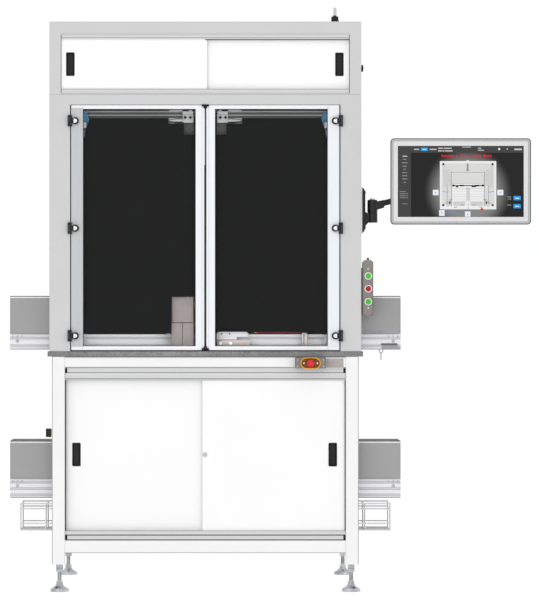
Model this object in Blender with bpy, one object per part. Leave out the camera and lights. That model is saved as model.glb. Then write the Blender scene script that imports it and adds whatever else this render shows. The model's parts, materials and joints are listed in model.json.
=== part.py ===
"""Enclosed robot assembly cell: base cabinet, guarded enclosure, header cabinet, two conveyors and a SCARA robot.

Metres, +Z up. Every piece is modelled in the machine's own coordinates, with X = 0 at the middle of the
body, Y = 0 at the front of the posts and Z = 0 on the floor. An empty carries them all, and moves the
origin to the middle of the whole object's footprint.
"""
import math

import bmesh
import bpy
import numpy as np
from mathutils import Vector

GAP = 0.0003            # kept between pieces that touch

# overall layout
DEPTH = 1.100           # front of the posts to the back of the posts
LOWER_X = 0.590         # half width over the legs
UPPER_X = 0.600         # half width over the enclosure and header
LEG = 0.050
LEG_BOTTOM = 0.106
BEAM = 0.040            # height and depth of the base frame's beams
LOW_BEAM_Z = 0.150
FRONT_BEAM_TOP = 0.198
SIDE_INSET = 0.005      # side beams stand back from the legs' faces
TABLE_BEAMS_Y = (0.600, 0.720)
SHELF = 0.018           # flat bar that carries the lower conveyor
FOOT_X, FOOT_INSET = 0.562, 0.035
TABLE_BOTTOM, TABLE_TOP = 0.906, 0.926
TABLE_X, TABLE_PROUD = 0.607, 0.002
SEAM = 1.914            # enclosure below, header above
TOP = 2.195

# enclosure and header frames
POST = 0.080
ENCLOSURE_BEAM = 0.039
HEADER_POST = 0.044
SHEET = 0.002
PANEL_Z = 0.165         # bottom of the rear panel
CONVEYOR_WAY = (0.075, 0.345)   # front and back of every cut-out the conveyors pass through
UPPER_WAY_TOP = 1.1445

# base cabinet
CABINET_X = 0.5385
CABINET_Z = (0.1985, 0.8650)
CABINET_FRONT = 0.0405
LOWER_WAY_Z = (0.222, 0.5885)

# sliding doors: a front lane and a rear lane in one track section
LANES = (0.012, 0.024)  # front face of the door in each lane
LEAF = 0.004            # door thickness
TRACK_WALLS = ((0.006, 0.010), (0.018, 0.022), (0.030, 0.034))
TRACK_BASE = 0.006
TRACK_DEPTH = 0.022
BOTTOM_TRACK_Z = (0.1983, 0.236)
TOP_TRACK_LIP = 0.815
TRACK_GROOVE, TRACK_GROOVE_H = 0.002, 0.003
HEADER_TOP_BAND = 0.045
PULL_RIM = 0.001
PULL_WALL, PULL_DEPTH = 0.002, 0.0055
LOCK_X, LOCK_Z = -0.001, 0.528

# guard doors
DOOR_IN, DOOR_OUT = 0.004, 0.516
DOOR_Z = (0.931, 1.873)
DOOR_Y = (0.002, 0.032)
OUTER_STILE, INNER_STILE, TOP_RAIL, BOTTOM_RAIL = 0.045, 0.033, 0.014, 0.015
PANE_Y = (0.014, 0.018)
REBATE = 0.005
HINGE_X, HINGE_Y = 0.5185, -0.006
HINGE_ZS = (0.986, 1.400, 1.813)
BOSS_X, BOSS_R = 0.500, 0.0135
KNUCKLE_R, KNUCKLE_H = 0.0050, 0.0105   # the door's knuckle reaches this far up and down
HINGE_H = 0.0215        # half height of the post's leaf
HINGE_LEAF_X = (0.5240, 0.5290)

# conveyors
CONVEYOR_X = 0.755
CONVEYOR_Y = (0.090, 0.330)
RAIL = 0.030
ROLLER_X = 0.727
ROLLER_R = 0.0200
BELT = 0.002
UPPER_Z = (0.932, 0.991)
LOWER_Z = (0.358, 0.431)
TUNNEL_H = 0.146
TUNNEL_WALL = 0.003
TUNNEL_SIDE = 0.0043    # the hood stands this far outside the rails
SLOT_H, SLOT_DEPTH = 0.008, 0.006
BED_T = 0.005
AXLE_R = 0.0060
WIRE = 0.005
TRAY_X, TRAY_Y, TRAY_Z = 0.7175, (0.100, 0.320), (0.231, 0.338)
TRAY_SIDE_WIRES = (0.231, 0.256, 0.313, 0.333)
TRAY_FLOOR_WIRES = (0.1725, 0.2425)
TRAY_CROSS_WIRES = (-0.715, -0.617, -0.310, 0.0, 0.310, 0.617, 0.715)

# emergency stop and push-button pendant
ESTOP_X, ESTOP_Z = 0.404, 0.881
ESTOP_BOX_Y = -0.040
ESTOP_CUP_R, ESTOP_CUP_X = 0.022, 0.017     # round ends of the guard, and their distance from its middle
PENDANT_X, PENDANT_Y, PENDANT_Z = (0.605, 0.646), (0.0, 0.058), (1.063, 1.277)
BUTTON_X, BUTTON_R = 0.627, 0.0115
BUTTONS = (("reset_button", 1.117, "green"), ("stop_button", 1.167, "red"), ("start_button", 1.216, "green"))

# operator panel
ARM_X, ARM_Y = 0.645, 0.060
ARM_Z = 1.460           # joint between the wall bracket and the arm
ARM_R = 0.019
ARM_HALF = 0.012
HEAD_X = 0.979
HEAD_Z = 1.590
CORNER_R = 0.012
SCREEN_X, SCREEN_Z, SCREEN_DEPTH = (0.737, 1.219), (1.443, 1.715), 0.0015
PANEL = ((0.710, -0.062, 1.413), (1.248, -0.020, 1.743))
TILT_Y = 0.012

# SCARA robot
ROBOT = Vector((0.0, 0.680, 0.0))
LINK = 0.250
INNER_TURN = math.radians(-55.0)    # from +X at rest, so the elbow is forward and to the right
OUTER_TURN = math.radians(-130.0)
ELBOW = ROBOT + LINK * Vector((math.cos(INNER_TURN), math.sin(INNER_TURN), 0.0))
QUILL = ELBOW + LINK * Vector((math.cos(OUTER_TURN), math.sin(OUTER_TURN), 0.0))
INNER_Z = (1.218, 1.290)
OUTER_Z = (1.293, 1.400)
COVER_TOP = 1.460
BASE_R, INNER_R, OUTER_R, COVER_R = 0.080, (0.075, 0.060), (0.062, 0.050), (0.055, 0.040)
QUILL_R, QUILL_Z = 0.0100, 1.206

# the whole object's footprint, whose middle is the origin
FOOTPRINT_X = (-CONVEYOR_X, PANEL[1][0])
REAR = 1.106
FOOTPRINT_Y = (PANEL[0][1], REAR)

COLORS = {
    "white": ((0.90, 0.90, 0.90), 0.45, 0.0),
    "grey": ((0.66, 0.66, 0.66), 0.45, 0.0),
    "table": ((0.30, 0.30, 0.30), 0.55, 0.3),
    "aluminium": ((0.62, 0.63, 0.65), 0.35, 1.0),
    "steel": ((0.55, 0.56, 0.58), 0.25, 1.0),
    "black": ((0.02, 0.02, 0.02), 0.5, 0.0),
    "taupe": ((0.42, 0.38, 0.36), 0.5, 0.0),
    "hood": ((0.36, 0.36, 0.36), 0.5, 0.0),
    "yellow": ((0.80, 0.45, 0.02), 0.4, 0.0),
    "red": ((0.70, 0.02, 0.03), 0.35, 0.0),
    "green": ((0.06, 0.45, 0.03), 0.35, 0.0),
    "glass": ((0.75, 0.80, 0.82), 0.05, 0.0),
}


# ---------------------------------------------------------------- helpers

def clear_scene():
    for obj in list(bpy.data.objects):
        bpy.data.objects.remove(obj, do_unlink=True)


def make_origin():
    """The empty that moves the machine's coordinates to the origin at the middle of the footprint."""
    empty = bpy.data.objects.new("machine_origin", None)
    empty.location = (-sum(FOOTPRINT_X) / 2, -sum(FOOTPRINT_Y) / 2, 0.0)
    bpy.context.scene.collection.objects.link(empty)
    return empty


def material(name):
    found = bpy.data.materials.get(name)
    if found:
        return found
    color, rough, metal = COLORS[name]
    made = bpy.data.materials.new(name)
    made.use_nodes = True
    shader = made.node_tree.nodes["Principled BSDF"]
    shader.inputs["Base Color"].default_value = (*color, 1.0)
    shader.inputs["Roughness"].default_value = rough
    shader.inputs["Metallic"].default_value = metal
    return made


def add_object(name, bm, color, pivot=(0.0, 0.0, 0.0)):
    """A named object from a bmesh in machine coordinates, with its origin at the pivot."""
    bmesh.ops.translate(bm, verts=bm.verts, vec=-Vector(pivot))
    mesh = bpy.data.meshes.new(name)
    bm.to_mesh(mesh)
    bm.free()
    mesh.shade_smooth()
    mesh.set_sharp_from_angle(angle=math.radians(35))
    mesh.materials.append(material(color))
    obj = bpy.data.objects.new(name, mesh)
    obj.location = pivot
    obj.parent = bpy.data.objects["machine_origin"]
    bpy.context.scene.collection.objects.link(obj)
    return obj


def block(low, high):
    """The two corners of a box, in order on each axis."""
    return tuple(np.minimum(low, high)), tuple(np.maximum(low, high))


def mirrored(boxes):
    return [block((-lo[0], lo[1], lo[2]), (-hi[0], hi[1], hi[2])) for lo, hi in boxes]


def carve(add, cut=()):
    """The union of axis-aligned boxes less the cut boxes, as one closed bmesh."""
    every = np.round(np.array([*add, *cut], float), 6)
    planes = [np.unique(every[:, :, axis]) for axis in range(3)]
    middles = [(p[1:] + p[:-1]) / 2 for p in planes]
    grid = np.stack(np.meshgrid(*middles, indexing="ij"), -1)
    filled = np.zeros(grid.shape[:3], bool)
    for n, (low, high) in enumerate(every):
        within = np.all((grid > low) & (grid < high), axis=-1)
        filled = filled | within if n < len(add) else filled & ~within
    filled = np.pad(filled, 1)
    bm = bmesh.new()
    corners = {}

    def corner(index):
        if index not in corners:
            corners[index] = bm.verts.new([planes[axis][index[axis]] for axis in range(3)])
        return corners[index]

    for axis in range(3):
        step = np.diff(filled.astype(int), axis=axis)
        u, v = (axis + 1) % 3, (axis + 2) % 3
        for cell in zip(*np.nonzero(step)):
            at = [c - (1 if a != axis else 0) for a, c in enumerate(cell)]
            ring = []
            for du, dv in ((0, 0), (1, 0), (1, 1), (0, 1)):
                point = list(at)
                point[u] += du
                point[v] += dv
                ring.append(corner(tuple(int(p) for p in point)))
            if step[cell] > 0:
                ring.reverse()
            bm.faces.new(ring)
    bmesh.ops.dissolve_limit(bm, angle_limit=math.radians(0.5), verts=bm.verts, edges=bm.edges)
    return bm


def extrude(outline, axis, start, end):
    """A closed outline, as (u, v) pairs in the plane across the axis, made solid along the axis."""
    u, v = (axis + 1) % 3, (axis + 2) % 3
    bm = bmesh.new()
    ring = []
    for point in outline:
        place = [0.0, 0.0, 0.0]
        place[axis], place[u], place[v] = start, point[0], point[1]
        ring.append(bm.verts.new(place))
    face = bm.faces.new(ring)
    swept = bmesh.ops.extrude_face_region(bm, geom=[face])
    move = Vector((0.0, 0.0, 0.0))
    move[axis] = end - start
    fresh = [g for g in swept["geom"] if isinstance(g, bmesh.types.BMVert)]
    bmesh.ops.translate(bm, verts=fresh, vec=move)
    bmesh.ops.recalc_face_normals(bm, faces=bm.faces)
    return bm


def turn(profile, centre, axis="Z", segments=32):
    """A turned solid from (radius, height) pairs, its ends closed, along +axis from the centre."""
    bm = bmesh.new()
    rings = []
    for radius, height in profile:
        ring = []
        for n in range(segments):
            angle = 2 * math.pi * n / segments
            ring.append(bm.verts.new((radius * math.cos(angle), radius * math.sin(angle), height)))
        rings.append(ring)
    for low, high in zip(rings, rings[1:]):
        for n in range(segments):
            m = (n + 1) % segments
            bm.faces.new((low[n], low[m], high[m], high[n]))
    bm.faces.new(list(reversed(rings[0])))
    bm.faces.new(rings[-1])
    along = {"X": (1, 0, 0), "Y": (0, 1, 0), "Z": (0, 0, 1), "-X": (-1, 0, 0), "-Y": (0, -1, 0)}[axis]
    spin = Vector((0, 0, 1)).rotation_difference(Vector(along)).to_matrix()
    bmesh.ops.rotate(bm, verts=bm.verts, cent=(0, 0, 0), matrix=spin)
    bmesh.ops.translate(bm, verts=bm.verts, vec=centre)
    bmesh.ops.recalc_face_normals(bm, faces=bm.faces)
    return bm


def rod(centre, radius, length, axis="Z", segments=24):
    return turn(((radius, 0.0), (radius, length)), centre, axis, segments)


def combine(obj, shapes, operation):
    """Joins shapes to an object, or cuts them from it, with exact Booleans."""
    for n, shape in enumerate(shapes):
        helper = add_object(f"{obj.name}_{operation.lower()}_{n}", shape, "steel")
        helper.hide_render = True
        helper.display_type = "WIRE"
        mod = obj.modifiers.new(f"{operation} {n}", "BOOLEAN")
        mod.operation = operation
        mod.solver = "EXACT"
        mod.object = helper
    return obj


def join(obj, *shapes):
    return combine(obj, shapes, "UNION")


def cut(obj, *shapes):
    return combine(obj, shapes, "DIFFERENCE")


def stadium(a, b, ra, rb, z, segments=12):
    """A link's outline between two round ends, extruded from z[0] to z[1]."""
    along = math.atan2(b.y - a.y, b.x - a.x)
    points = []
    for centre, radius, first in ((b, rb, along - math.pi / 2), (a, ra, along + math.pi / 2)):
        for n in range(segments + 1):
            angle = first + math.pi * n / segments
            points.append((centre.x + radius * math.cos(angle), centre.y + radius * math.sin(angle)))
    return extrude(points, 2, z[0], z[1])


# ---------------------------------------------------------------- base

def build_lower_frame():
    x0, x1 = LOWER_X - LEG, LOWER_X
    top = TABLE_BOTTOM - GAP
    side = [
        block((x0, 0, LEG_BOTTOM), (x1, LEG, top)),
        block((x0, DEPTH - LEG, LEG_BOTTOM), (x1, DEPTH, top)),
    ]
    for z in (LOW_BEAM_Z, top - BEAM):
        side.append(block((x0 + SIDE_INSET, LEG, z), (x1 - SIDE_INSET, DEPTH - LEG, z + BEAM)))
    shelf = LOWER_Z[0] - GAP
    side.append(block((x0 + SIDE_INSET, LEG, shelf - SHELF), (x1 - SIDE_INSET, DEPTH - LEG, shelf)))
    across = []
    for y in (0.0, DEPTH - BEAM):
        across.append(block((-x0, y, top - BEAM), (x0, y + BEAM, top)))
        across.append(block((-x0, y, LOW_BEAM_Z), (x0, y + BEAM, FRONT_BEAM_TOP)))
    for y in TABLE_BEAMS_Y:
        across.append(block((-x0 - SIDE_INSET, y, top - BEAM), (x0 + SIDE_INSET, y + BEAM, top)))
    add_object("lower_frame", carve(side + mirrored(side) + across), "white")


def build_feet():
    profile = (
        (0.0365, 0.0), (0.0365, 0.009), (0.0330, 0.015), (0.0200, 0.021), (0.0120, 0.032),
        (0.0130, 0.034), (0.0130, 0.041), (0.0085, 0.043), (0.0085, 0.075), (0.0135, 0.0765),
        (0.0135, LEG_BOTTOM - GAP),
    )
    for row, y in (("front", FOOT_INSET), ("rear", DEPTH - FOOT_INSET)):
        for side, x in (("left", -FOOT_X), ("right", FOOT_X)):
            centre = (x, y, 0.0)
            add_object(f"foot_{row}_{side}", turn(profile, centre, segments=24), "steel", centre)


def build_cabinet():
    """Folded sheet: two sides with a way through for the lower conveyor, a back and a floor."""
    x, y0, y1 = CABINET_X, CABINET_FRONT, DEPTH - BEAM - GAP
    z0, z1 = CABINET_Z
    low, high = LOWER_WAY_Z
    hollow = [
        block((-x + SHEET, y0 - 1, z0 + SHEET), (x - SHEET, y1 - SHEET, z1 + 1)),
        block((-1, CONVEYOR_WAY[0], low), (1, CONVEYOR_WAY[1], high)),
    ]
    add_object("cabinet_shell", carve([block((-x, y0, z0), (x, y1, z1))], hollow), "white")


def build_cabinet_tracks():
    """The two aluminium tracks of the cabinet doors, each with a groove along its front."""
    x = LOWER_X - LEG - GAP
    front, back = TRACK_WALLS[0][0], TRACK_WALLS[-1][1]
    beam_bottom = TABLE_BOTTOM - GAP - BEAM
    for name, z_base, z_lip, sign in (
        ("cabinet_top_track", beam_bottom - GAP, TOP_TRACK_LIP, -1),
        ("cabinet_bottom_track", *BOTTOM_TRACK_Z, 1),
    ):
        base = abs(z_base - z_lip) - TRACK_DEPTH - GAP
        shape = [block((-x, y0, z_base), (x, y1, z_lip)) for y0, y1 in TRACK_WALLS]
        shape.append(block((-x, front, z_base), (x, back, z_base + sign * base)))
        middle = (z_base + z_lip) / 2
        groove = block((-1, -1, middle), (1, front + TRACK_GROOVE, middle + TRACK_GROOVE_H))
        add_object(name, carve(shape, [groove]), "aluminium")


def door_with_pull(kind, side, x, z, lane, pull_x, pull_z):
    """A sliding door leaf with a recessed pull set into it."""
    y0 = LANES[lane]
    y1 = y0 + LEAF
    (px0, px1), (pz0, pz1) = pull_x, pull_z
    wall, inner = PULL_WALL, 2 * PULL_WALL
    body = block((px0 + wall, y0, pz0 + wall), (px1 - wall, y1 + PULL_DEPTH, pz1 - wall))
    hole = block(np.array(body[0]) - GAP, np.array(body[1]) + GAP)
    leaf = carve([block((x[0], y0, z[0]), (x[1], y1, z[1]))], [hole])
    door = add_object(f"{kind}_door_{side}", leaf, "white")
    cup = [
        block((px0, y0 - GAP - PULL_RIM, pz0), (px1, y0 - GAP, pz1)),
        block((px0 + wall, y0 - GAP, pz0 + wall), body[1]),
    ]
    hollow = block((px0 + inner, y0 - 1, pz0 + inner), (px1 - inner, y1 + PULL_DEPTH - LEAF / 2, pz1 - inner))
    add_object(f"{kind}_pull_{side}", carve(cup, [hollow]), "black")
    return door


def build_cabinet_doors():
    z = (0.2150, 0.8345)
    pulls = (0.483, 0.574)
    door_with_pull("cabinet", "left", (-0.536, 0.020), z, 1, (-0.513, -0.480), pulls)
    right = door_with_pull("cabinet", "right", (-0.012, 0.536), z, 0, (0.474, 0.507), pulls)
    face = LANES[0] - GAP
    barrel_r, slot_half = 0.0055, 0.0008
    cut(right, rod((LOCK_X, face - 0.010, LOCK_Z), barrel_r + GAP, 0.030, "Y"))
    profile = ((0.0070, -0.0015), (0.0070, 0.0), (barrel_r, 0.0), (barrel_r, 0.0090))
    lock = turn(profile, (LOCK_X, face, LOCK_Z), "Y", 24)
    made = add_object("cabinet_lock", lock, "steel", (LOCK_X, LANES[0], LOCK_Z))
    key = block((LOCK_X - slot_half, face - 0.003, LOCK_Z - 0.0035), (LOCK_X + slot_half, face - 0.0007,
                LOCK_Z + 0.0035))
    cut(made, carve([key]))


def build_table():
    slab = block((-TABLE_X, -TABLE_PROUD, TABLE_BOTTOM), (TABLE_X, DEPTH + TABLE_PROUD, TABLE_TOP))
    add_object("table_plate", carve([slab]), "table")


# ---------------------------------------------------------------- enclosure

def build_enclosure_frame():
    """Posts, beams and sills, with the fixed leaves of the doors' hinges."""
    z0, z1 = TABLE_TOP + GAP, SEAM
    x0 = UPPER_X - POST
    sill, sill_front, beam_depth = 0.030, 0.400, 0.060
    front = HINGE_Y - KNUCKLE_R
    side = [
        block((x0, 0, z0), (UPPER_X, POST, z1)),
        block((x0, DEPTH - POST, z0), (UPPER_X, DEPTH, z1)),
        block((UPPER_X - BEAM, POST, z1 - ENCLOSURE_BEAM), (UPPER_X, DEPTH - POST, z1)),
        block((UPPER_X - BEAM, sill_front, z0), (UPPER_X, DEPTH - POST, z0 + sill)),
    ]
    for z in HINGE_ZS:
        side.append(block((HINGE_LEAF_X[0], front, z - HINGE_H), (HINGE_LEAF_X[1], 0, z + HINGE_H)))
        for low, high in ((z - HINGE_H, z - KNUCKLE_H - GAP), (z + KNUCKLE_H + GAP, z + HINGE_H)):
            side.append(block((HINGE_X - KNUCKLE_R, front, low), (HINGE_LEAF_X[0], HINGE_Y + KNUCKLE_R, high)))
    across = [
        block((-x0, 0, z1 - ENCLOSURE_BEAM), (x0, beam_depth, z1)),
        block((-x0, DEPTH - beam_depth, z1 - ENCLOSURE_BEAM), (x0, DEPTH, z1)),
        block((-x0, DEPTH - beam_depth, z0), (x0, DEPTH, z0 + sill)),
    ]
    add_object("enclosure_frame", carve(side + mirrored(side) + across), "grey")


def build_side_panels():
    x1 = UPPER_X - BEAM - GAP
    panel = [block((x1 - SHEET, POST + GAP, TABLE_TOP + GAP), (x1, DEPTH - POST - GAP, SEAM - GAP))]
    way = [block((-1, CONVEYOR_WAY[0], 0), (1, CONVEYOR_WAY[1], UPPER_WAY_TOP))]
    for side, boxes in (("right", panel), ("left", mirrored(panel))):
        add_object(f"side_panel_{side}", carve(boxes, way), "grey")
    edge = 0.004
    rear = block((-UPPER_X + edge, DEPTH + TABLE_PROUD + GAP, PANEL_Z), (UPPER_X - edge, REAR, SEAM - edge))
    add_object("rear_panel", carve([rear]), "grey")


def build_header():
    """Welded header cabinet: posts and top beam, roof, sides, back and floor sheets, and both door tracks."""
    z0, z1 = SEAM + GAP, TOP
    x, xi = UPPER_X, UPPER_X - HEADER_POST
    band = z1 - HEADER_TOP_BAND
    front, back = TRACK_WALLS[0][1], TRACK_WALLS[-1][0]
    frame_depth, step = 0.050, 0.001
    add = [block((-x, 0, z0), (x, DEPTH, z1))]
    hollow = [
        block((-xi, -1, z0 + TRACK_BASE), (xi, TRACK_WALLS[-1][1], band - TRACK_BASE)),
        block((-x + SHEET, frame_depth, z0 + SHEET), (x - SHEET, DEPTH - SHEET, z1 - SHEET)),
        block((-xi, back, z0 + TRACK_BASE), (xi, frame_depth + step, band - TRACK_BASE)),
        block((-xi, -1, z0 - 1), (xi, front - TRACK_BASE, z0 + TRACK_BASE + step)),
        block((-xi, -1, band - TRACK_BASE - step), (xi, front - TRACK_BASE, band)),
    ]
    walls = []
    for y0, y1 in TRACK_WALLS:
        walls.append(block((-xi, y0, z0), (xi, y1, SEAM + TRACK_DEPTH)))
        walls.append(block((-xi, y0, band - TRACK_DEPTH), (xi, y1, band)))
    add_object("header_body", carve_then_add(add, hollow, walls), "grey")


def carve_then_add(add, hollow, more):
    """Boxes less hollows, and then more boxes that stand inside the hollows."""
    kept = []
    for low, high in hollow:
        pieces = [(low, high)]
        for lo, hi in more:
            pieces = [rest for piece in pieces for rest in without(piece, (lo, hi))]
        kept += pieces
    return carve(add + more, kept)


def without(box, taken):
    """A box less another, as up to six boxes."""
    low, high = np.array(box[0], float), np.array(box[1], float)
    lo, hi = np.maximum(low, taken[0]), np.minimum(high, taken[1])
    if np.any(lo >= hi):
        return [(tuple(low), tuple(high))]
    rest = []
    for axis in range(3):
        if lo[axis] > low[axis]:
            end = high.copy()
            end[axis] = lo[axis]
            rest.append((tuple(low), tuple(end)))
            low = low.copy()
            low[axis] = lo[axis]
        if hi[axis] < high[axis]:
            start = low.copy()
            start[axis] = hi[axis]
            rest.append((tuple(start), tuple(high)))
            high = high.copy()
            high[axis] = hi[axis]
    return rest


def build_header_doors():
    z = (1.9215, 2.1430)
    pulls = (1.986, 2.077)
    door_with_pull("header", "left", (-0.554, 0.008), z, 0, (-0.536, -0.503), pulls)
    door_with_pull("header", "right", (-0.022, 0.554), z, 1, (0.500, 0.533), pulls)


def build_guard_door(side, sign):
    """A door frame with its three hinge bosses, and the clear pane held in its groove."""
    z0, z1 = DOOR_Z
    window = block((DOOR_IN + INNER_STILE, -1, z0 + BOTTOM_RAIL), (DOOR_OUT - OUTER_STILE, 1, z1 - TOP_RAIL))
    w0, w1 = window
    groove = block((w0[0] - REBATE - GAP, PANE_Y[0] - GAP, w0[2] - REBATE - GAP),
                   (w1[0] + REBATE + GAP, PANE_Y[1] + GAP, w1[2] + REBATE + GAP))
    frame = [block((DOOR_IN, DOOR_Y[0], z0), (DOOR_OUT, DOOR_Y[1], z1))]
    holes = [window, groove]
    pane = [block((w0[0] - REBATE, PANE_Y[0], w0[2] - REBATE), (w1[0] + REBATE, PANE_Y[1], w1[2] + REBATE))]
    if sign < 0:
        frame, holes, pane = mirrored(frame), mirrored(holes), mirrored(pane)
    pivot = (sign * HINGE_X, HINGE_Y, 0.0)
    leaf = add_object(f"guard_door_{side}_frame", carve(frame, holes), "aluminium", pivot)
    for z in HINGE_ZS:
        boss = rod((sign * BOSS_X, HINGE_Y - 0.002, z), BOSS_R, 0.012, "Y")
        arm = carve([block((sign * HINGE_X, HINGE_Y - 0.0035, z - 0.008),
                           (sign * BOSS_X, HINGE_Y + 0.0035, z + 0.008))])
        knuckle = rod((sign * HINGE_X, HINGE_Y, z - KNUCKLE_H), KNUCKLE_R, 2 * KNUCKLE_H)
        join(leaf, boss, arm, knuckle)
    add_object(f"guard_door_{side}_pane", carve(pane), "glass", pivot)


def build_interlock_beam():
    """The beam behind the doors' top edge, with a safety switch at each side of the middle."""
    beam = block((-0.5197, 0.050, 1.823), (0.5197, 0.080, 1.856))
    switch = [
        block((0.0465, 0.036, 1.807), (0.087, 0.051, 1.851)),
        block((0.044, 0.044, 1.762), (0.0815, 0.049, 1.824)),
        block((0.086, 0.038, 1.804), (0.141, 0.047, 1.825)),
        block((0.086, 0.041, 1.851), (0.139, 0.051, 1.858)),
    ]
    add_object("interlock_beam", carve([beam] + switch + mirrored(switch)), "aluminium")


# ---------------------------------------------------------------- conveyors

def build_conveyor(name, z, slot_count):
    """Two slotted side rails joined by a slider bed, with a belt round a drive and a tail roller."""
    y0, y1 = CONVEYOR_Y
    loose = 0.0006                      # between the belt and its rollers
    below_rail = 0.004                  # from the rails' top to the belt's middle line
    axle = z[1] - below_rail - BELT - ROLLER_R
    bed_top = axle + ROLLER_R - 0.001
    bed_x = ROLLER_X - 0.030
    rails = [
        block((-CONVEYOR_X, y0, z[0]), (CONVEYOR_X, y0 + RAIL, z[1])),
        block((-CONVEYOR_X, y1 - RAIL, z[0]), (CONVEYOR_X, y1, z[1])),
        block((-bed_x, y0, bed_top - BED_T), (bed_x, y1, bed_top)),
    ]
    slots = []
    pitch = (z[1] - z[0]) / slot_count
    for n in range(slot_count):
        low = z[0] + pitch * (n + 0.5) - SLOT_H / 2
        slots.append(block((-1, y0 - 1, low), (1, y0 + SLOT_DEPTH, low + SLOT_H)))
        slots.append(block((-1, y1 - SLOT_DEPTH, low), (1, y1 + 1, low + SLOT_H)))
    frame = add_object(f"{name}_frame", carve(rails, slots), "aluminium")
    for sign in (-1, 1):
        cut(frame, rod((sign * ROLLER_X, y0 - 0.01, axle), AXLE_R + 0.0005, y1 - y0 + 0.02, "Y", 16))
    start, end = RAIL + 0.002, y1 - y0 - RAIL - 0.002
    profile = (
        (AXLE_R, 0.001), (AXLE_R, start), (ROLLER_R, start), (ROLLER_R, end), (AXLE_R, end),
        (AXLE_R, y1 - y0 - 0.001),
    )
    for part, sign in (("drive_roller", 1), ("tail_roller", -1)):
        centre = (sign * ROLLER_X, y0, axle)
        add_object(f"{name}_{part}", turn(profile, centre, "Y", 24), "steel", centre)
    edge = RAIL + 0.004
    outside = extrude(belt_outline(axle, ROLLER_R + loose + BELT), 1, y0 + edge, y1 - edge)
    belt = add_object(f"{name}_belt", outside, "black")
    cut(belt, extrude(belt_outline(axle, ROLLER_R + loose), 1, y0, y1))


def belt_outline(axle, radius, segments=12):
    """A belt's path round both rollers, as (z, x) pairs."""
    points = []
    for sign, first in ((1, -math.pi / 2), (-1, math.pi / 2)):
        for n in range(segments + 1):
            angle = first + math.pi * n / segments
            points.append((axle + radius * math.sin(angle), sign * ROLLER_X + radius * math.cos(angle)))
    return points


def build_tunnel(name, x, z):
    """A sheet hood over a conveyor, open below and at its ends."""
    y0, y1 = CONVEYOR_Y[0] - TUNNEL_SIDE, CONVEYOR_Y[1] + TUNNEL_SIDE
    bottom = z + 0.001
    hood = [block((x[0], y0, bottom), (x[1], y1, bottom + TUNNEL_H))]
    hollow = [block((-1, y0 + TUNNEL_WALL, 0), (1, y1 - TUNNEL_WALL, bottom + TUNNEL_H - TUNNEL_WALL))]
    add_object(name, carve(hood, hollow), "hood")


def build_cable_tray():
    """A welded wire basket below the lower conveyor: long wires held by U-shaped cross wires."""
    y0, y1 = TRAY_Y
    z0, z1 = TRAY_Z
    sides = (y0, y1 - WIRE)
    add = []
    for y in sides:
        for z in TRAY_SIDE_WIRES:
            add.append(block((-TRAY_X, y, z), (TRAY_X, y + WIRE, z + WIRE)))
    for y in TRAY_FLOOR_WIRES:
        add.append(block((-TRAY_X, y, z0), (TRAY_X, y + WIRE, z0 + WIRE)))
    for x in TRAY_CROSS_WIRES:
        left, right = x - WIRE / 2, x + WIRE / 2
        add.append(block((left, y0, z0), (right, y1, z0 + WIRE)))
        for y in sides:
            add.append(block((left, y, z0), (right, y + WIRE, z1)))
    add_object("cable_tray", carve(add), "steel")


# ---------------------------------------------------------------- controls

def cup_outline(radius):
    """The emergency stop guard's outline, round at both ends, as (z, x) pairs."""
    points = []
    for side, first in ((ESTOP_CUP_X, -math.pi / 2), (-ESTOP_CUP_X, math.pi / 2)):
        for n in range(13):
            angle = first + math.pi * n / 12
            points.append((ESTOP_Z + radius * math.sin(angle), ESTOP_X + side + radius * math.cos(angle)))
    return points


def build_estop():
    """A flat box, a cup-shaped guard with an open face, and the mushroom button inside it."""
    x, z = ESTOP_X, ESTOP_Z
    case = carve([block((x - 0.059, ESTOP_BOX_Y, z - 0.020), (x + 0.059, -GAP, z + 0.021))])
    box = add_object("estop_box", case, "taupe")
    cut(box, rod((x, ESTOP_BOX_Y - 0.010, z), 0.0075, 0.030, "Y"))
    lip = ESTOP_BOX_Y - 0.012
    guard = add_object("estop_guard", extrude(cup_outline(ESTOP_CUP_R), 1, lip, ESTOP_BOX_Y - GAP), "yellow")
    pocket = extrude(cup_outline(ESTOP_CUP_R - 0.0035), 1, lip - 0.010, ESTOP_BOX_Y - 0.0035)
    cut(guard, pocket, rod((x, ESTOP_BOX_Y - 0.020, z), 0.0090, 0.030, "Y"))
    foot = (x, ESTOP_BOX_Y + 0.009, z)
    profile = ((0.0070, 0.0), (0.0070, 0.017), (0.0130, 0.017), (0.0130, 0.026), (0.0105, 0.030))
    add_object("estop_button", turn(profile, foot, "-Y"), "red", foot)


def build_pendant():
    """A narrow box with chamfered shoulders, stood off the wall, and its three push buttons."""
    (x0, x1), (y0, y1), (z0, z1) = PENDANT_X, PENDANT_Y, PENDANT_Z
    shoulder, shoulder_z = 0.007, z1 - 0.010
    nub = ((0.6215, 0.024, z1 - 0.001), (0.6315, 0.034, 1.288))
    box = add_object("pendant_box", carve([
        block((x0, y0, z0), (x1, y1, shoulder_z)),
        block((x0 + shoulder, y0, shoulder_z - 0.001), (x1 - shoulder, y1, z1)),
        block((UPPER_X + GAP, y0 + 0.014, z0 + 0.020), (x0 + 0.001, y1 - 0.010, z1 - 0.030)),
        block(*nub),
    ]), "taupe")
    well = 0.022
    stem = well - 0.001
    for name, z, color in BUTTONS:
        cut(box, rod((BUTTON_X, y0 - 0.01, z), BUTTON_R + 0.0007, well + 0.010, "Y"))
        profile = ((BUTTON_R, 0.0), (BUTTON_R, stem), (BUTTON_R - 0.0015, stem + 0.0025))
        cap = turn(profile, (BUTTON_X, y0 + 0.015, z), "-Y", 24)
        add_object(name, cap, color, (BUTTON_X, y0, z))


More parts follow.
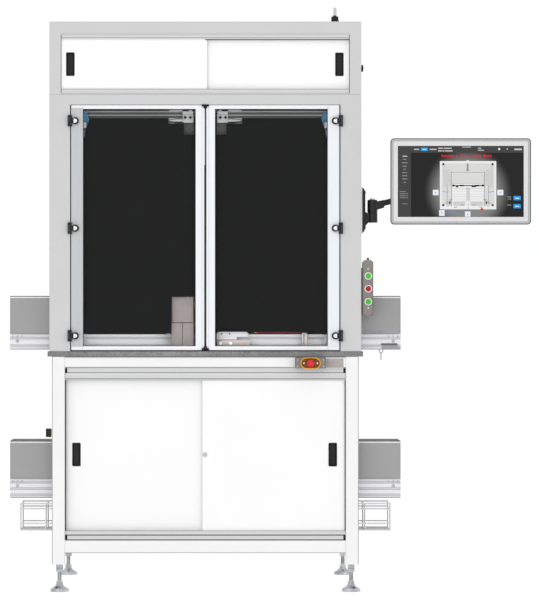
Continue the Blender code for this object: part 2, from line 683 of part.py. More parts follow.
def rounded(low, high, radius, steps=6):
    """A rounded rectangle's outline between two corners."""
    points = []
    for n, (u, v) in enumerate(((high[0], high[1]), (low[0], high[1]), (low[0], low[1]), (high[0], low[1]))):
        centre = (u - math.copysign(radius, u - low[0] - radius), v - math.copysign(radius, v - low[1] - radius))
        for step in range(steps + 1):
            angle = math.pi / 2 * (n + step / steps)
            points.append((centre[0] + radius * math.cos(angle), centre[1] + radius * math.sin(angle)))
    return points


def build_operator_panel():
    """Wall bracket, sloping swing arm, swivel head and the display that tilts on it."""
    knuckle_h = 0.038
    bracket = add_object("hmi_wall_bracket", carve([
        block((UPPER_X + GAP, 0.010, 1.379), (0.619, 0.110, 1.559)),
        block((0.618, ARM_Y - ARM_R, ARM_Z - knuckle_h), (ARM_X, ARM_Y + ARM_R, ARM_Z)),
    ]), "black")
    join(bracket, rod((ARM_X, ARM_Y, ARM_Z - knuckle_h), ARM_R, knuckle_h))
    pivot = (ARM_X, ARM_Y, ARM_Z)
    arm = add_object("hmi_arm", rod((ARM_X, ARM_Y, ARM_Z + GAP), ARM_R, 0.0507), "black", pivot)
    beam = ((ARM_Z + 0.010, ARM_X), (HEAD_Z - 0.034, HEAD_X), (HEAD_Z - 0.004, HEAD_X), (ARM_Z + 0.043, ARM_X))
    sloped = extrude(beam, 1, ARM_Y - ARM_HALF, ARM_Y + ARM_HALF)
    join(arm, sloped, rod((HEAD_X, ARM_Y, HEAD_Z - knuckle_h), ARM_R, knuckle_h))
    (x0, face, z0), (x1, back, z1) = PANEL
    z = (z0 + z1) / 2
    head = add_object("hmi_head", rod((HEAD_X, ARM_Y, HEAD_Z + GAP), ARM_R, 0.020), "black",
                      (HEAD_X, ARM_Y, HEAD_Z))
    link, link_z, pad = 0.015, (HEAD_Z + 0.002, HEAD_Z + 0.018), 0.008
    join(head, carve([
        block((HEAD_X - link, TILT_Y - pad, link_z[0]), (HEAD_X + link, ARM_Y, link_z[1])),
        block((HEAD_X - link, TILT_Y - pad, z - pad), (HEAD_X + link, TILT_Y + pad, link_z[1])),
    ]))
    outline = rounded((z0, x0), (z1, x1), CORNER_R)
    panel = add_object("hmi_monitor", extrude(outline, 1, face, back), "aluminium", (HEAD_X, TILT_Y, z))
    plate, ear, ear_h = 0.060, (link + 0.0005, link + 0.0065), 0.010
    join(panel, carve([
        block((HEAD_X - plate, back - 0.002, z - plate), (HEAD_X + plate, back + pad, z + plate)),
        block((HEAD_X + ear[0], back, z - ear_h), (HEAD_X + ear[1], TILT_Y + pad, z + ear_h)),
        block((HEAD_X - ear[1], back, z - ear_h), (HEAD_X - ear[0], TILT_Y + pad, z + ear_h)),
    ]))
    cut(panel, carve([block((SCREEN_X[0], -1, SCREEN_Z[0]), (SCREEN_X[1], face + SCREEN_DEPTH, SCREEN_Z[1]))]))


def build_small_fittings():
    centre = (-LOWER_X - GAP, 0.025, 0.612)
    knob = turn(((0.0120, 0.0), (0.0120, 0.004), (0.0175, 0.004), (0.0175, 0.0230), (0.0165, 0.0240)),
                centre, "-X", 24)
    add_object("main_switch_knob", knob, "black", centre)
    lamp = turn(((0.0150, 0.0), (0.0150, 0.020), (0.0060, 0.023), (0.0045, 0.055)),
                (0.499, 0.022, TOP + GAP), segments=20)
    add_object("signal_lamp", lamp, "black", (0.499, 0.022, TOP + GAP))
    housing = carve([
        block((-0.130, 0.038, TABLE_TOP + GAP), (-0.046, 0.082, 1.137)),
    ])
    add_object("sensor_housing", housing, "taupe")


# ---------------------------------------------------------------- robot

def build_robot():
    x, y = ROBOT.x, ROBOT.y
    floor = TABLE_TOP + GAP
    neck = INNER_Z[0] - 0.100
    base = add_object("scara_base", carve([
        block((x - 0.100, y - 0.090, floor), (x + 0.100, y + 0.110, floor + 0.018)),
        block((x - 0.070, y - 0.060, floor), (x + 0.070, y + 0.090, neck + 0.050)),
    ]), "white", tuple(ROBOT))
    join(base, rod((x, y, neck), BASE_R, 0.100 - GAP, segments=32))
    inner = stadium(ROBOT, ELBOW, *INNER_R, INNER_Z)
    add_object("scara_inner_arm", inner, "white", tuple(ROBOT))
    outer = add_object("scara_outer_arm", stadium(ELBOW, QUILL, *OUTER_R, OUTER_Z), "white", tuple(ELBOW))
    cover = stadium(ELBOW, ELBOW.lerp(QUILL, 0.75), *COVER_R, (OUTER_Z[0] + 0.010, COVER_TOP))
    join(outer, rod((ELBOW.x, ELBOW.y, INNER_Z[1] + GAP), 0.050, 0.020, segments=32), cover)
    cut(outer, rod((QUILL.x, QUILL.y, OUTER_Z[0] - 0.01), QUILL_R + 0.0015, 0.200, segments=32))
    foot = (QUILL.x, QUILL.y, QUILL_Z)
    collar_r = 0.0140
    shaft = turn(((QUILL_R, 0.0), (QUILL_R, 0.396), (collar_r, 0.398), (collar_r, 0.4145)), foot, segments=24)
    add_object("scara_quill", shaft, "steel", foot)
    build_tool(foot)
    controller = carve([block((-0.200, 0.560, CABINET_Z[0] + SHEET + 0.0065), (0.240, 0.960, 0.520))])
    add_object("robot_controller", controller, "grey")


def build_tool(foot):
    """A parallel gripper: a square flange, a cross body and two fingers, below the quill's end."""
    finger = block((0.014, -0.008, -0.046), (0.024, 0.008, -0.021))
    tool = carve([
        block((-0.020, -0.020, -0.014), (0.020, 0.020, -GAP)),
        block((-0.030, -0.012, -0.022), (0.030, 0.012, -0.013)),
        finger,
        *mirrored([finger]),
    ])
    bmesh.ops.translate(tool, verts=tool.verts, vec=foot)
    add_object("scara_tool", tool, "aluminium", foot)


def main():
    clear_scene()
    make_origin()
    build_lower_frame()
    build_feet()
    build_cabinet()
    build_cabinet_tracks()
    build_cabinet_doors()
    build_table()
    build_enclosure_frame()
    build_side_panels()
    build_header()
    build_header_doors()
    build_guard_door("left", -1)
    build_guard_door("right", 1)
    build_interlock_beam()
    build_conveyor("conveyor_upper", UPPER_Z, 2)
    build_conveyor("conveyor_lower", LOWER_Z, 3)
    build_tunnel("tunnel_upper_left", (-CONVEYOR_X, -UPPER_X - GAP), UPPER_Z[1])
    build_tunnel("tunnel_upper_right", (UPPER_X + GAP, CONVEYOR_X), UPPER_Z[1])
    build_tunnel("tunnel_lower", (-CONVEYOR_X, CONVEYOR_X), LOWER_Z[1])
    build_cable_tray()
    build_estop()
    build_pendant()
    build_operator_panel()
    build_small_fittings()
    build_robot()


main()
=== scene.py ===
"""Looks of the robot assembly cell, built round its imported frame.

Places are in the machine's own coordinates: X from the middle of the body, Y from the front face of
the header, Z from the floor. at() turns them into the frame's coordinates.
"""
import json
import math

import bmesh
import bpy
from mathutils import Matrix, Vector


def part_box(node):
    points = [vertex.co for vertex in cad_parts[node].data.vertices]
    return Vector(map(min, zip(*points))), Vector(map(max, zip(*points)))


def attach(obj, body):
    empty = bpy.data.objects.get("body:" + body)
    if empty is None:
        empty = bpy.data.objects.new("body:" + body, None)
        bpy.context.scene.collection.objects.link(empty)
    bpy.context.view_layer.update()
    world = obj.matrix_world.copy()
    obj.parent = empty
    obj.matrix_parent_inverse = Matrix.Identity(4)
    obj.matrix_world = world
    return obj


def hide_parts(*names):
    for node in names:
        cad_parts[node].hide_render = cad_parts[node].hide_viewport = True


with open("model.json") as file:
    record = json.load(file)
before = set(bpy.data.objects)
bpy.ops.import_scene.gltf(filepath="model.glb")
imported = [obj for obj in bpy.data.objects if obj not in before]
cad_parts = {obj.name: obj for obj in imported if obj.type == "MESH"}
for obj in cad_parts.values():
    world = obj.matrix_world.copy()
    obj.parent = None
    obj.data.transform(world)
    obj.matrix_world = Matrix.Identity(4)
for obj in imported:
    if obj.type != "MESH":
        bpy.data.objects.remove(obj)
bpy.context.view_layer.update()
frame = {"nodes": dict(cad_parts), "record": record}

BODY_LOW, BODY_HIGH = (Vector(corner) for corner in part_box("header_body"))
MID_X = (BODY_LOW.x + BODY_HIGH.x) / 2
FRONT = BODY_LOW.y
DEPTH = BODY_HIGH.y - BODY_LOW.y
WELD_DISTANCE = 0.00001
SHARP_ANGLE = math.radians(38)


def at(x, y, z):
    return Vector((MID_X + x, FRONT + y, z))


def local_box(node):
    """A node's lowest and highest corners in the machine's coordinates."""
    low, high = (Vector(corner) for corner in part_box(node))
    shift = Vector((MID_X, FRONT, 0.0))
    return low - shift, high - shift


# ---------------------------------------------------------------- camera, light, floor

def make_camera():
    """A long lens at the height of the doors' handles' line, level, straight at the front."""
    distance, view_height, eye = 16.2, 2.308, 1.104
    data = bpy.data.cameras.new("camera")
    data.sensor_width = 36.0
    data.lens = data.sensor_width * distance / view_height
    data.shift_x, data.shift_y = 0.0996, 0.0085
    data.clip_end = 100.0
    cam = bpy.data.objects.new("camera", data)
    cam.location = at(0.017, -distance, eye)
    cam.rotation_euler = (math.radians(90), 0.0, 0.0)
    bpy.context.scene.collection.objects.link(cam)
    bpy.context.scene.camera = cam


def area_light(name, place, target, size, power):
    data = bpy.data.lights.new(name, "AREA")
    data.shape = "RECTANGLE"
    data.size, data.size_y = size
    data.energy = power
    lamp = bpy.data.objects.new(name, data)
    lamp.location = place
    lamp.visible_camera = False
    lamp.rotation_euler = (Vector(target) - Vector(place)).to_track_quat("-Z", "Y").to_euler()
    bpy.context.scene.collection.objects.link(lamp)


def make_light():
    scene = bpy.context.scene
    scene.view_settings.view_transform = "Standard"
    world = bpy.data.worlds.new("studio")
    world.use_nodes = True
    world.node_tree.nodes["Background"].inputs["Color"].default_value = (1.0, 1.0, 1.0, 1.0)
    world.node_tree.nodes["Background"].inputs["Strength"].default_value = 1.0
    scene.world = world
    middle = at(0.0, 0.0, 1.2)
    area_light("key", at(-3.0, -6.0, 4.2), middle, (4.0, 4.0), 24.0)
    area_light("fill", at(4.0, -6.0, 2.4), middle, (4.0, 4.0), 9.0)
    for name, x, width in (("strip_left", -0.32, 0.32), ("strip_right", 0.26, 0.4)):
        area_light(name, at(x, 0.0365, 0.975), at(x, 0.2, 0.96), (width, 0.04), 0.055 * width / 0.4)


def make_floor():
    bm = bmesh.new()
    bmesh.ops.create_grid(bm, x_segments=8, y_segments=8, size=60.0)
    mesh = bpy.data.meshes.new("floor")
    bm.to_mesh(mesh)
    bm.free()
    floor = bpy.data.objects.new("floor", mesh)
    floor.location = (0.0, 0.0, -0.0005)
    bpy.context.scene.collection.objects.link(floor)
    white = painted("floor_white", (0.25, 0.25, 0.25), 0.8, grain=0.0, gloss=0.0)
    shader = white.node_tree.nodes["Principled BSDF"]
    shader.inputs["Emission Color"].default_value = (1.0, 1.0, 1.0, 1.0)
    shader.inputs["Emission Strength"].default_value = 0.8
    mesh.materials.append(white)


# ---------------------------------------------------------------- materials

def new_material(name):
    made = bpy.data.materials.new(name)
    made.use_nodes = True
    tree = made.node_tree
    return made, tree, tree.nodes["Principled BSDF"]


def link(tree, source, target):
    tree.links.new(source, target)


def object_noise(tree, scale, stretch=(1.0, 1.0, 1.0), detail=3.0):
    """Noise over the piece's own coordinates; scale counts features per metre."""
    where = tree.nodes.new("ShaderNodeTexCoord")
    mapping = tree.nodes.new("ShaderNodeMapping")
    mapping.inputs["Scale"].default_value = stretch
    noise = tree.nodes.new("ShaderNodeTexNoise")
    noise.inputs["Scale"].default_value = scale
    noise.inputs["Detail"].default_value = detail
    link(tree, where.outputs["Object"], mapping.inputs["Vector"])
    link(tree, mapping.outputs["Vector"], noise.inputs["Vector"])
    return noise


def shaded(color, factor):
    return (*(min(1.0, c * factor) for c in color), 1.0)


def vary_color(tree, shader, noise, color, spread, low=0.35, high=0.65):
    ramp = tree.nodes.new("ShaderNodeValToRGB")
    ramp.color_ramp.elements[0].position = low
    ramp.color_ramp.elements[1].position = high
    ramp.color_ramp.elements[0].color = shaded(color, 1.0 - spread)
    ramp.color_ramp.elements[1].color = shaded(color, 1.0 + spread)
    link(tree, noise.outputs["Fac"], ramp.inputs["Fac"])
    link(tree, ramp.outputs["Color"], shader.inputs["Base Color"])


def vary_roughness(tree, shader, noise, rough, spread):
    remap = tree.nodes.new("ShaderNodeMapRange")
    remap.inputs["To Min"].default_value = max(0.02, rough - spread)
    remap.inputs["To Max"].default_value = min(1.0, rough + spread)
    link(tree, noise.outputs["Fac"], remap.inputs["Value"])
    link(tree, remap.outputs["Result"], shader.inputs["Roughness"])


def add_bump(tree, shader, height, strength, distance):
    bump = tree.nodes.new("ShaderNodeBump")
    bump.inputs["Strength"].default_value = strength
    bump.inputs["Distance"].default_value = distance
    link(tree, height, bump.inputs["Height"])
    link(tree, bump.outputs["Normal"], shader.inputs["Normal"])


def painted(name, color, rough=0.42, grain=0.12, gloss=0.4, spread=0.015):
    """Powder coat: an orange-peel skin and a faint unevenness of tone."""
    made, tree, shader = new_material(name)
    shader.inputs["Specular IOR Level"].default_value = gloss
    vary_color(tree, shader, object_noise(tree, 5.0), color, spread)
    vary_roughness(tree, shader, object_noise(tree, 40.0), rough, 0.05)
    if grain:
        add_bump(tree, shader, object_noise(tree, 700.0, detail=1.0).outputs["Fac"], grain, 0.0004)
    return made


def anodised(name, color, rough=0.38, along="X", metal=0.55, spread=0.03):
    """Extruded and anodised aluminium, with die lines along its length."""
    made, tree, shader = new_material(name)
    shader.inputs["Metallic"].default_value = metal
    shader.inputs["Specular IOR Level"].default_value = 0.4
    stretch = tuple(1.0 if axis == along else 60.0 for axis in "XYZ")
    lines = object_noise(tree, 9.0, stretch, detail=4.0)
    vary_color(tree, shader, lines, color, spread)
    vary_roughness(tree, shader, object_noise(tree, 14.0, stretch), rough, 0.08)
    add_bump(tree, shader, lines.outputs["Fac"], 0.1, 0.0003)
    return made


def metal(name, color, rough=0.14, spread=0.04, scale=60.0):
    made, tree, shader = new_material(name)
    shader.inputs["Metallic"].default_value = 1.0
    noise = object_noise(tree, scale)
    vary_color(tree, shader, noise, color, spread)
    vary_roughness(tree, shader, noise, rough, 0.06)
    return made


def plastic(name, color, rough=0.45, grain=0.2, gloss=0.4, spread=0.04):
    """Moulded plastic or fine cast paint, with a leathery spark-eroded grain."""
    made, tree, shader = new_material(name)
    shader.inputs["Specular IOR Level"].default_value = gloss
    vary_color(tree, shader, object_noise(tree, 30.0), color, spread)
    vary_roughness(tree, shader, object_noise(tree, 90.0), rough, 0.06)
    add_bump(tree, shader, object_noise(tree, 1400.0, detail=2.0).outputs["Fac"], grain, 0.0002)
    return made


def speckled(name, low, high, rough=0.6):
    """Ground plate: fine light and dark specks over cloudy grey."""
    made, tree, shader = new_material(name)
    fine = object_noise(tree, 160.0, detail=6.0)
    cloud = object_noise(tree, 14.0, detail=4.0)
    mix = tree.nodes.new("ShaderNodeMath")
    mix.operation = "MULTIPLY_ADD"
    mix.inputs[1].default_value = 0.55
    link(tree, fine.outputs["Fac"], mix.inputs[0])
    scaled = tree.nodes.new("ShaderNodeMath")
    scaled.operation = "MULTIPLY"
    scaled.inputs[1].default_value = 0.45
    link(tree, cloud.outputs["Fac"], scaled.inputs[0])
    link(tree, scaled.outputs["Value"], mix.inputs[2])
    ramp = tree.nodes.new("ShaderNodeValToRGB")
    ramp.color_ramp.elements[0].position = 0.38
    ramp.color_ramp.elements[1].position = 0.62
    ramp.color_ramp.elements[0].color = (*low, 1.0)
    ramp.color_ramp.elements[1].color = (*high, 1.0)
    link(tree, mix.outputs["Value"], ramp.inputs["Fac"])
    link(tree, ramp.outputs["Color"], shader.inputs["Base Color"])
    shader.inputs["Metallic"].default_value = 0.2
    vary_roughness(tree, shader, fine, rough, 0.1)
    add_bump(tree, shader, fine.outputs["Fac"], 0.25, 0.0004)
    return made


def woven(name, color):
    """Conveyor belt: a woven underlay printed through matt rubber."""
    made, tree, shader = new_material(name)
    where = tree.nodes.new("ShaderNodeTexCoord")
    waves = []
    for direction in ("X", "Y"):
        wave = tree.nodes.new("ShaderNodeTexWave")
        wave.bands_direction = direction
        wave.inputs["Scale"].default_value = 120.0
        wave.inputs["Distortion"].default_value = 0.4
        link(tree, where.outputs["Object"], wave.inputs["Vector"])
        waves.append(wave)
    product = tree.nodes.new("ShaderNodeMath")
    product.operation = "MULTIPLY"
    for n, wave in enumerate(waves):
        link(tree, wave.outputs["Fac"], product.inputs[n])
    vary_color(tree, shader, object_noise(tree, 20.0), color, 0.2)
    shader.inputs["Roughness"].default_value = 0.75
    add_bump(tree, shader, product.outputs["Value"], 0.5, 0.0006)
    return made


def clear_pane(name):
    """Coated, faintly smoked polycarbonate: nearly invisible from the front, with faint cleaning haze."""
    made, tree, shader = new_material(name)
    shader.inputs["Base Color"].default_value = (0.06, 0.065, 0.07, 1.0)
    shader.inputs["Specular IOR Level"].default_value = 0.06
    shader.inputs["Alpha"].default_value = 0.03
    vary_roughness(tree, shader, object_noise(tree, 6.0), 0.12, 0.05)
    return made


def glowing(name, color, strength=1.0):
    """A lit patch of the display, its brightness broken up by the panel's fine rows."""
    made, tree, shader = new_material(name)
    shader.inputs["Base Color"].default_value = (0.0, 0.0, 0.0, 1.0)
    shader.inputs["Specular IOR Level"].default_value = 0.05
    shader.inputs["Roughness"].default_value = 0.35
    noise = object_noise(tree, 900.0, (0.02, 1.0, 1.0), detail=0.0)
    ramp = tree.nodes.new("ShaderNodeValToRGB")
    ramp.color_ramp.elements[0].color = shaded(color, 0.95)
    ramp.color_ramp.elements[1].color = shaded(color, 1.05)
    link(tree, noise.outputs["Fac"], ramp.inputs["Fac"])
    link(tree, ramp.outputs["Color"], shader.inputs["Emission Color"])
    shader.inputs["Emission Strength"].default_value = strength
    return made


def glow_backdrop(name, centre, radius, inner, outer):
    """The display's backdrop: a round glow fading to near black."""
    made, tree, shader = new_material(name)
    shader.inputs["Base Color"].default_value = (0.0, 0.0, 0.0, 1.0)
    shader.inputs["Specular IOR Level"].default_value = 0.05
    shader.inputs["Roughness"].default_value = 0.35
    where = tree.nodes.new("ShaderNodeTexCoord")
    mapping = tree.nodes.new("ShaderNodeMapping")
    mapping.inputs["Location"].default_value = (-centre[0] / radius, 0.0, -centre[2] / radius)
    mapping.inputs["Scale"].default_value = (1.0 / radius, 0.0, 1.0 / radius)
    length = tree.nodes.new("ShaderNodeVectorMath")
    length.operation = "LENGTH"
    ramp = tree.nodes.new("ShaderNodeValToRGB")
    ramp.color_ramp.interpolation = "EASE"
    ramp.color_ramp.elements[0].position = 0.56
    ramp.color_ramp.elements[0].color = (*inner, 1.0)
    ramp.color_ramp.elements[1].position = 1.0
    ramp.color_ramp.elements[1].color = (*outer, 1.0)
    link(tree, where.outputs["Object"], mapping.inputs["Vector"])
    link(tree, mapping.outputs["Vector"], length.inputs[0])
    link(tree, length.outputs["Value"], ramp.inputs["Fac"])
    link(tree, ramp.outputs["Color"], shader.inputs["Emission Color"])
    shader.inputs["Emission Strength"].default_value = 1.0
    return made


MATERIALS = {
    "frame_white": painted("frame_white", (0.87, 0.87, 0.87)),
    "frame_grey": painted("frame_grey", (0.6, 0.6, 0.602)),
    "door_white": painted("door_white", (0.93, 0.93, 0.93), 0.35, spread=0.005),
    "door_profile": anodised("door_profile", (0.86, 0.87, 0.89), 0.4, "Z", 0.25),
    "track": anodised("track", (0.58, 0.58, 0.59), 0.42, "X", 0.3),
    "conveyor_profile": anodised("conveyor_profile", (0.8, 0.8, 0.84), 0.36, "X", 0.15),
    "table": speckled("table", (0.16, 0.16, 0.16), (0.3, 0.3, 0.3)),
    "steel": metal("steel", (0.47, 0.48, 0.5), 0.1, 0.22, 30.0),
    "wire": metal("wire", (0.7, 0.7, 0.71), 0.3),
    "pane": clear_pane("pane"),
    "black_plastic": plastic("black_plastic", (0.012, 0.012, 0.013), 0.5, gloss=0.3),
    "black_metal": painted("black_metal", (0.012, 0.012, 0.013), 0.42, 0.15, 0.4, 0.1),
    "belt": woven("belt", (0.03, 0.031, 0.034)),
    "hood": painted("hood", (0.35, 0.35, 0.35), 0.5, 0.08, 0.3),
    "taupe": plastic("taupe", (0.42, 0.375, 0.36), 0.5, 0.15),
    "estop_yellow": plastic("estop_yellow", (0.78, 0.4, 0.01), 0.35, 0.06),
    "button_red": plastic("button_red", (0.72, 0.012, 0.02), 0.3, 0.04),
    "button_green": plastic("button_green", (0.07, 0.5, 0.02), 0.3, 0.04),
    "monitor": painted("monitor", (0.49, 0.49, 0.495), 0.5, 0.08, 0.2),
    "robot_white": painted("robot_white", (0.85, 0.85, 0.84), 0.35, 0.1),
    "tool_metal": metal("tool_metal", (0.7, 0.7, 0.72), 0.3),
    "controller": painted("controller", (0.5, 0.5, 0.52), 0.45),
    # painted shade: a near-black sheet that stands in for the unlit interior behind the clear panes
    "painted_interior_shade": plastic("painted_interior_shade", (0.0135, 0.0135, 0.0135), 0.9, 0.02, 0.05, 0.03),
    "rubber": plastic("rubber", (0.016, 0.016, 0.017), 0.75, 0.3, 0.2),
    "seam": plastic("seam", (0.06, 0.06, 0.062), 0.8, 0.1, 0.1),
    "cap_white": plastic("cap_white", (0.85, 0.85, 0.85), 0.35, 0.05),
    "blue": plastic("blue", (0.07, 0.24, 0.42), 0.4, 0.1),
    "red_strip": plastic("red_strip", (0.3, 0.03, 0.03), 0.45, 0.05),
    "yellow_tip": plastic("yellow_tip", (0.7, 0.42, 0.05), 0.45, 0.05),
    "switch_yellow": plastic("switch_yellow", (0.5, 0.55, 0.03), 0.4, 0.05),
    "header_white": painted("header_white", (0.985, 0.985, 0.985), 0.35, spread=0.003),
    # dark and mid greys for thin strips: painted shade lines in grooves, gaps and along edges, and some dark parts
    "line_dark": painted("line_dark", (0.16, 0.16, 0.16), 0.6, 0.05),
    "line_mid": painted("line_mid", (0.34, 0.34, 0.35), 0.6, 0.05),
    "track_light": anodised("track_light", (0.64, 0.64, 0.645), 0.5, "X", 0.05),
    # shaded and lit copies of the door profile, painted onto the stiles as light and shade
    "stile_painted_shade": anodised("stile_painted_shade", (0.53, 0.54, 0.55), 0.5, "Z", 0.05),
    "stile_painted_lit": anodised("stile_painted_lit", (0.82, 0.84, 0.87), 0.5, "Z", 0.05),
    # painted highlight tone for the band round the screen
    "bezel_painted_highlight": painted("bezel_painted_highlight", (0.7, 0.7, 0.71), 0.5, 0.08, 0.2),
    "plate_grey": painted("plate_grey", (0.15, 0.15, 0.15), 0.6, 0.1, 0.1),
    "case_grey": plastic("case_grey", (0.25, 0.222, 0.214), 0.55, 0.15),
    # the guard's yellow darkened to brown as painted shade in its cup
    "cup_painted_shade": plastic("cup_painted_shade", (0.2, 0.07, 0.004), 0.6, 0.06),
    "stop_red": plastic("stop_red", (0.4, 0.002, 0.006), 0.5, 0.04),
    "zinc": metal("zinc", (0.55, 0.55, 0.56), 0.34, 0.08, 200.0),
    "lens": plastic("lens", (0.55, 0.56, 0.56), 0.15, 0.02, 0.6),
}


# ---------------------------------------------------------------- geometry

def add_box(bm, low, high):
    """A box between two corners in machine coordinates."""
    low, high = at(*low), at(*high)
    size = [abs(b - a) for a, b in zip(low, high)]
    place = Matrix.Translation((low + high) / 2) @ Matrix.Diagonal((*size, 1.0))
    bmesh.ops.create_cube(bm, size=1.0, matrix=place)


def add_turned(bm, profile, centre, axis=(0, 0, 1), segments=40):
    """A turned solid from (radius, height) pairs along an axis from its centre."""
    spin = Vector((0, 0, 1)).rotation_difference(Vector(axis)).to_matrix()
    start = at(*centre)
    rings = []
    for radius, height in profile:
        ring = []
        for n in range(segments):
            angle = 2 * math.pi * n / segments
            point = Vector((radius * math.cos(angle), radius * math.sin(angle), height))
            ring.append(bm.verts.new(start + spin @ point))
        rings.append(ring)
    for low, high in zip(rings, rings[1:]):
        for n in range(segments):
            m = (n + 1) % segments
            bm.faces.new((low[n], low[m], high[m], high[n]))
    bm.faces.new(list(reversed(rings[0])))
    bm.faces.new(rings[-1])


def add_prism(bm, outline, axis, start, end):
    """An outline of (x, z), (x, y) or (y, z) pairs swept along the axis they leave out."""
    across = [n for n in range(3) if n != axis]
    rings = []
    for level in (start, end):
        ring = []
        for pair in outline:
            place = [0.0, 0.0, 0.0]
            place[axis] = level
            for n, value in zip(across, pair):
                place[n] = value
            ring.append(bm.verts.new(at(*place)))
        rings.append(ring)
    sides = len(outline)
    for n in range(sides):
        m = (n + 1) % sides
        bm.faces.new((rings[0][n], rings[0][m], rings[1][m], rings[1][n]))
    bm.faces.new(rings[0])
    bm.faces.new(rings[1])


def add_screw(bm, centre, axis, radius=0.0045, height=0.0022):
    """A button-head screw with a hex socket."""
    add_turned(bm, ((radius, 0.0), (radius, height * 0.4), (radius * 0.75, height), (radius * 0.42, height),
                    (radius * 0.4, height * 0.4)), centre, axis, 18)


def add_pipe(bm, points, radius, segments=12):
    """A round bar along straight runs between points in machine coordinates."""
    for start, end in zip(points, points[1:]):
        run = Vector(end) - Vector(start)
        add_turned(bm, ((radius, -radius * 0.5), (radius, run.length + radius * 0.5)), start, run, segments)


def rounded(width, height, radius, centre=(0.0, 0.0), steps=6):
    """A rounded rectangle's outline."""
    points = []
    for sx, sz, first in ((1, 1, 0.0), (-1, 1, 0.5), (-1, -1, 1.0), (1, -1, 1.5)):
        cx = centre[0] + sx * (width / 2 - radius)
        cz = centre[1] + sz * (height / 2 - radius)
        for n in range(steps + 1):
            angle = math.pi * (first + 0.5 * n / steps)
            points.append((cx + radius * math.cos(angle), cz + radius * math.sin(angle)))
    return points


def make(name, bm, slot, body, bevel=0.0, segments=2):
    """Finishes a piece: clean normals, a material, an optional bevel, and the body it rides."""
    bmesh.ops.recalc_face_normals(bm, faces=bm.faces)
    mesh = bpy.data.meshes.new(name)
    bm.to_mesh(mesh)
    bm.free()
    mesh.shade_smooth()
    mesh.set_sharp_from_angle(angle=SHARP_ANGLE)
    mesh.materials.append(MATERIALS[slot])
    piece = bpy.data.objects.new(name, mesh)
    bpy.context.scene.collection.objects.link(piece)
    if bevel:
        soften(piece, bevel, segments)
    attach(piece, body)
    return piece


def soften(piece, width, segments=2):
    """Rounds the sharp edges with a bevel modifier."""
    mod = piece.modifiers.new("edges", "BEVEL")
    mod.width = width
    mod.segments = segments
    mod.limit_method = "ANGLE"
    mod.angle_limit = SHARP_ANGLE
    mod.use_clamp_overlap = True


def boxes(name, pairs, slot, body, bevel=0.001, segments=2):
    """One piece made of boxes, each given by its lowest and highest corner."""
    bm = bmesh.new()
    for low, high in pairs:
        add_box(bm, low, high)
    return make(name, bm, slot, body, bevel, segments)


def turned(name, profile, centre, axis, slot, body, segments=48):
    bm = bmesh.new()
    add_turned(bm, profile, centre, axis, segments)
    return make(name, bm, slot, body)


def screws(name, places, axis, slot, body, radius=0.0045, height=0.0022):
    bm = bmesh.new()
    for place in places:
        add_screw(bm, place, axis, radius, height)
    return make(name, bm, slot, body)


# ---------------------------------------------------------------- CAD nodes kept as they are

def dress_frame():
    """Gives every CAD node its material, merged corners and softened edges."""
    widths = {
        "lower_frame": 0.002, "enclosure_frame": 0.002, "header_body": 0.0015, "table_plate": 0.0015,
        "rear_panel": 0.001, "guard_door_left_frame": 0.002, "guard_door_right_frame": 0.002,
        "robot_controller": 0.003, "scara_tool": 0.001, "estop_box": 0.002,
    }
    for entry in frame["record"]["subparts"]:
        node = frame["nodes"][entry["node"]]
        node.data.materials.clear()
        node.data.materials.append(MATERIALS[entry["material_slot"]])
        weld = node.modifiers.new("weld", "WELD")
        weld.merge_threshold = WELD_DISTANCE
        if entry["node"] in widths:
            soften(node, widths[entry["node"]])


# ---------------------------------------------------------------- guard doors

WINDOW = (0.037, 0.471, 0.946, 1.859)
HINGE_HEIGHTS = (0.986, 1.4, 1.813)
SIDES = (("left", -1), ("right", 1))


def flip(points, sign):
    return [(sign * x, z) for x, z in points]


def make_window_shade_sheets():
    """Painted shade: a near-black sheet on each clear pane's back that stands in for the unlit interior, cut back
    round the hardware that stands behind the door's edges.
    """
    inner, outer, _, _ = WINDOW
    low, high = 0.9955, 1.8235
    top_notches = [
        (outer, 1.75), (0.464, 1.75), (0.46, 1.78), (0.453, 1.799), (0.447, 1.818), (0.447, high),
        (0.1415, high), (0.1415, 1.8035), (0.0872, 1.8035), (0.0872, 1.806), (0.0822, 1.806),
        (0.0822, 1.761), (0.043, 1.761), (0.043, high), (inner, high),
    ]
    left = [*top_notches, (inner, 1.1385), (0.0505, 1.1385), (0.131, 1.1385), (0.131, low), (outer, low)]
    right = [*top_notches, (inner, 1.0015), (0.16, 1.0015), (0.1675, low), (0.19, low), (0.19, 1.0005),
             (0.3685, 1.0005), (0.3685, 0.9985), (0.3955, 0.9985), (0.3955, low), (outer, low)]
    for (side, sign), outline in zip(SIDES, (left, right)):
        bm = bmesh.new()
        add_prism(bm, flip(outline, sign), 1, 0.0184, 0.019)
        make(f"window_shade_sheet_{side}", bm, "painted_interior_shade", f"guard_{side}")


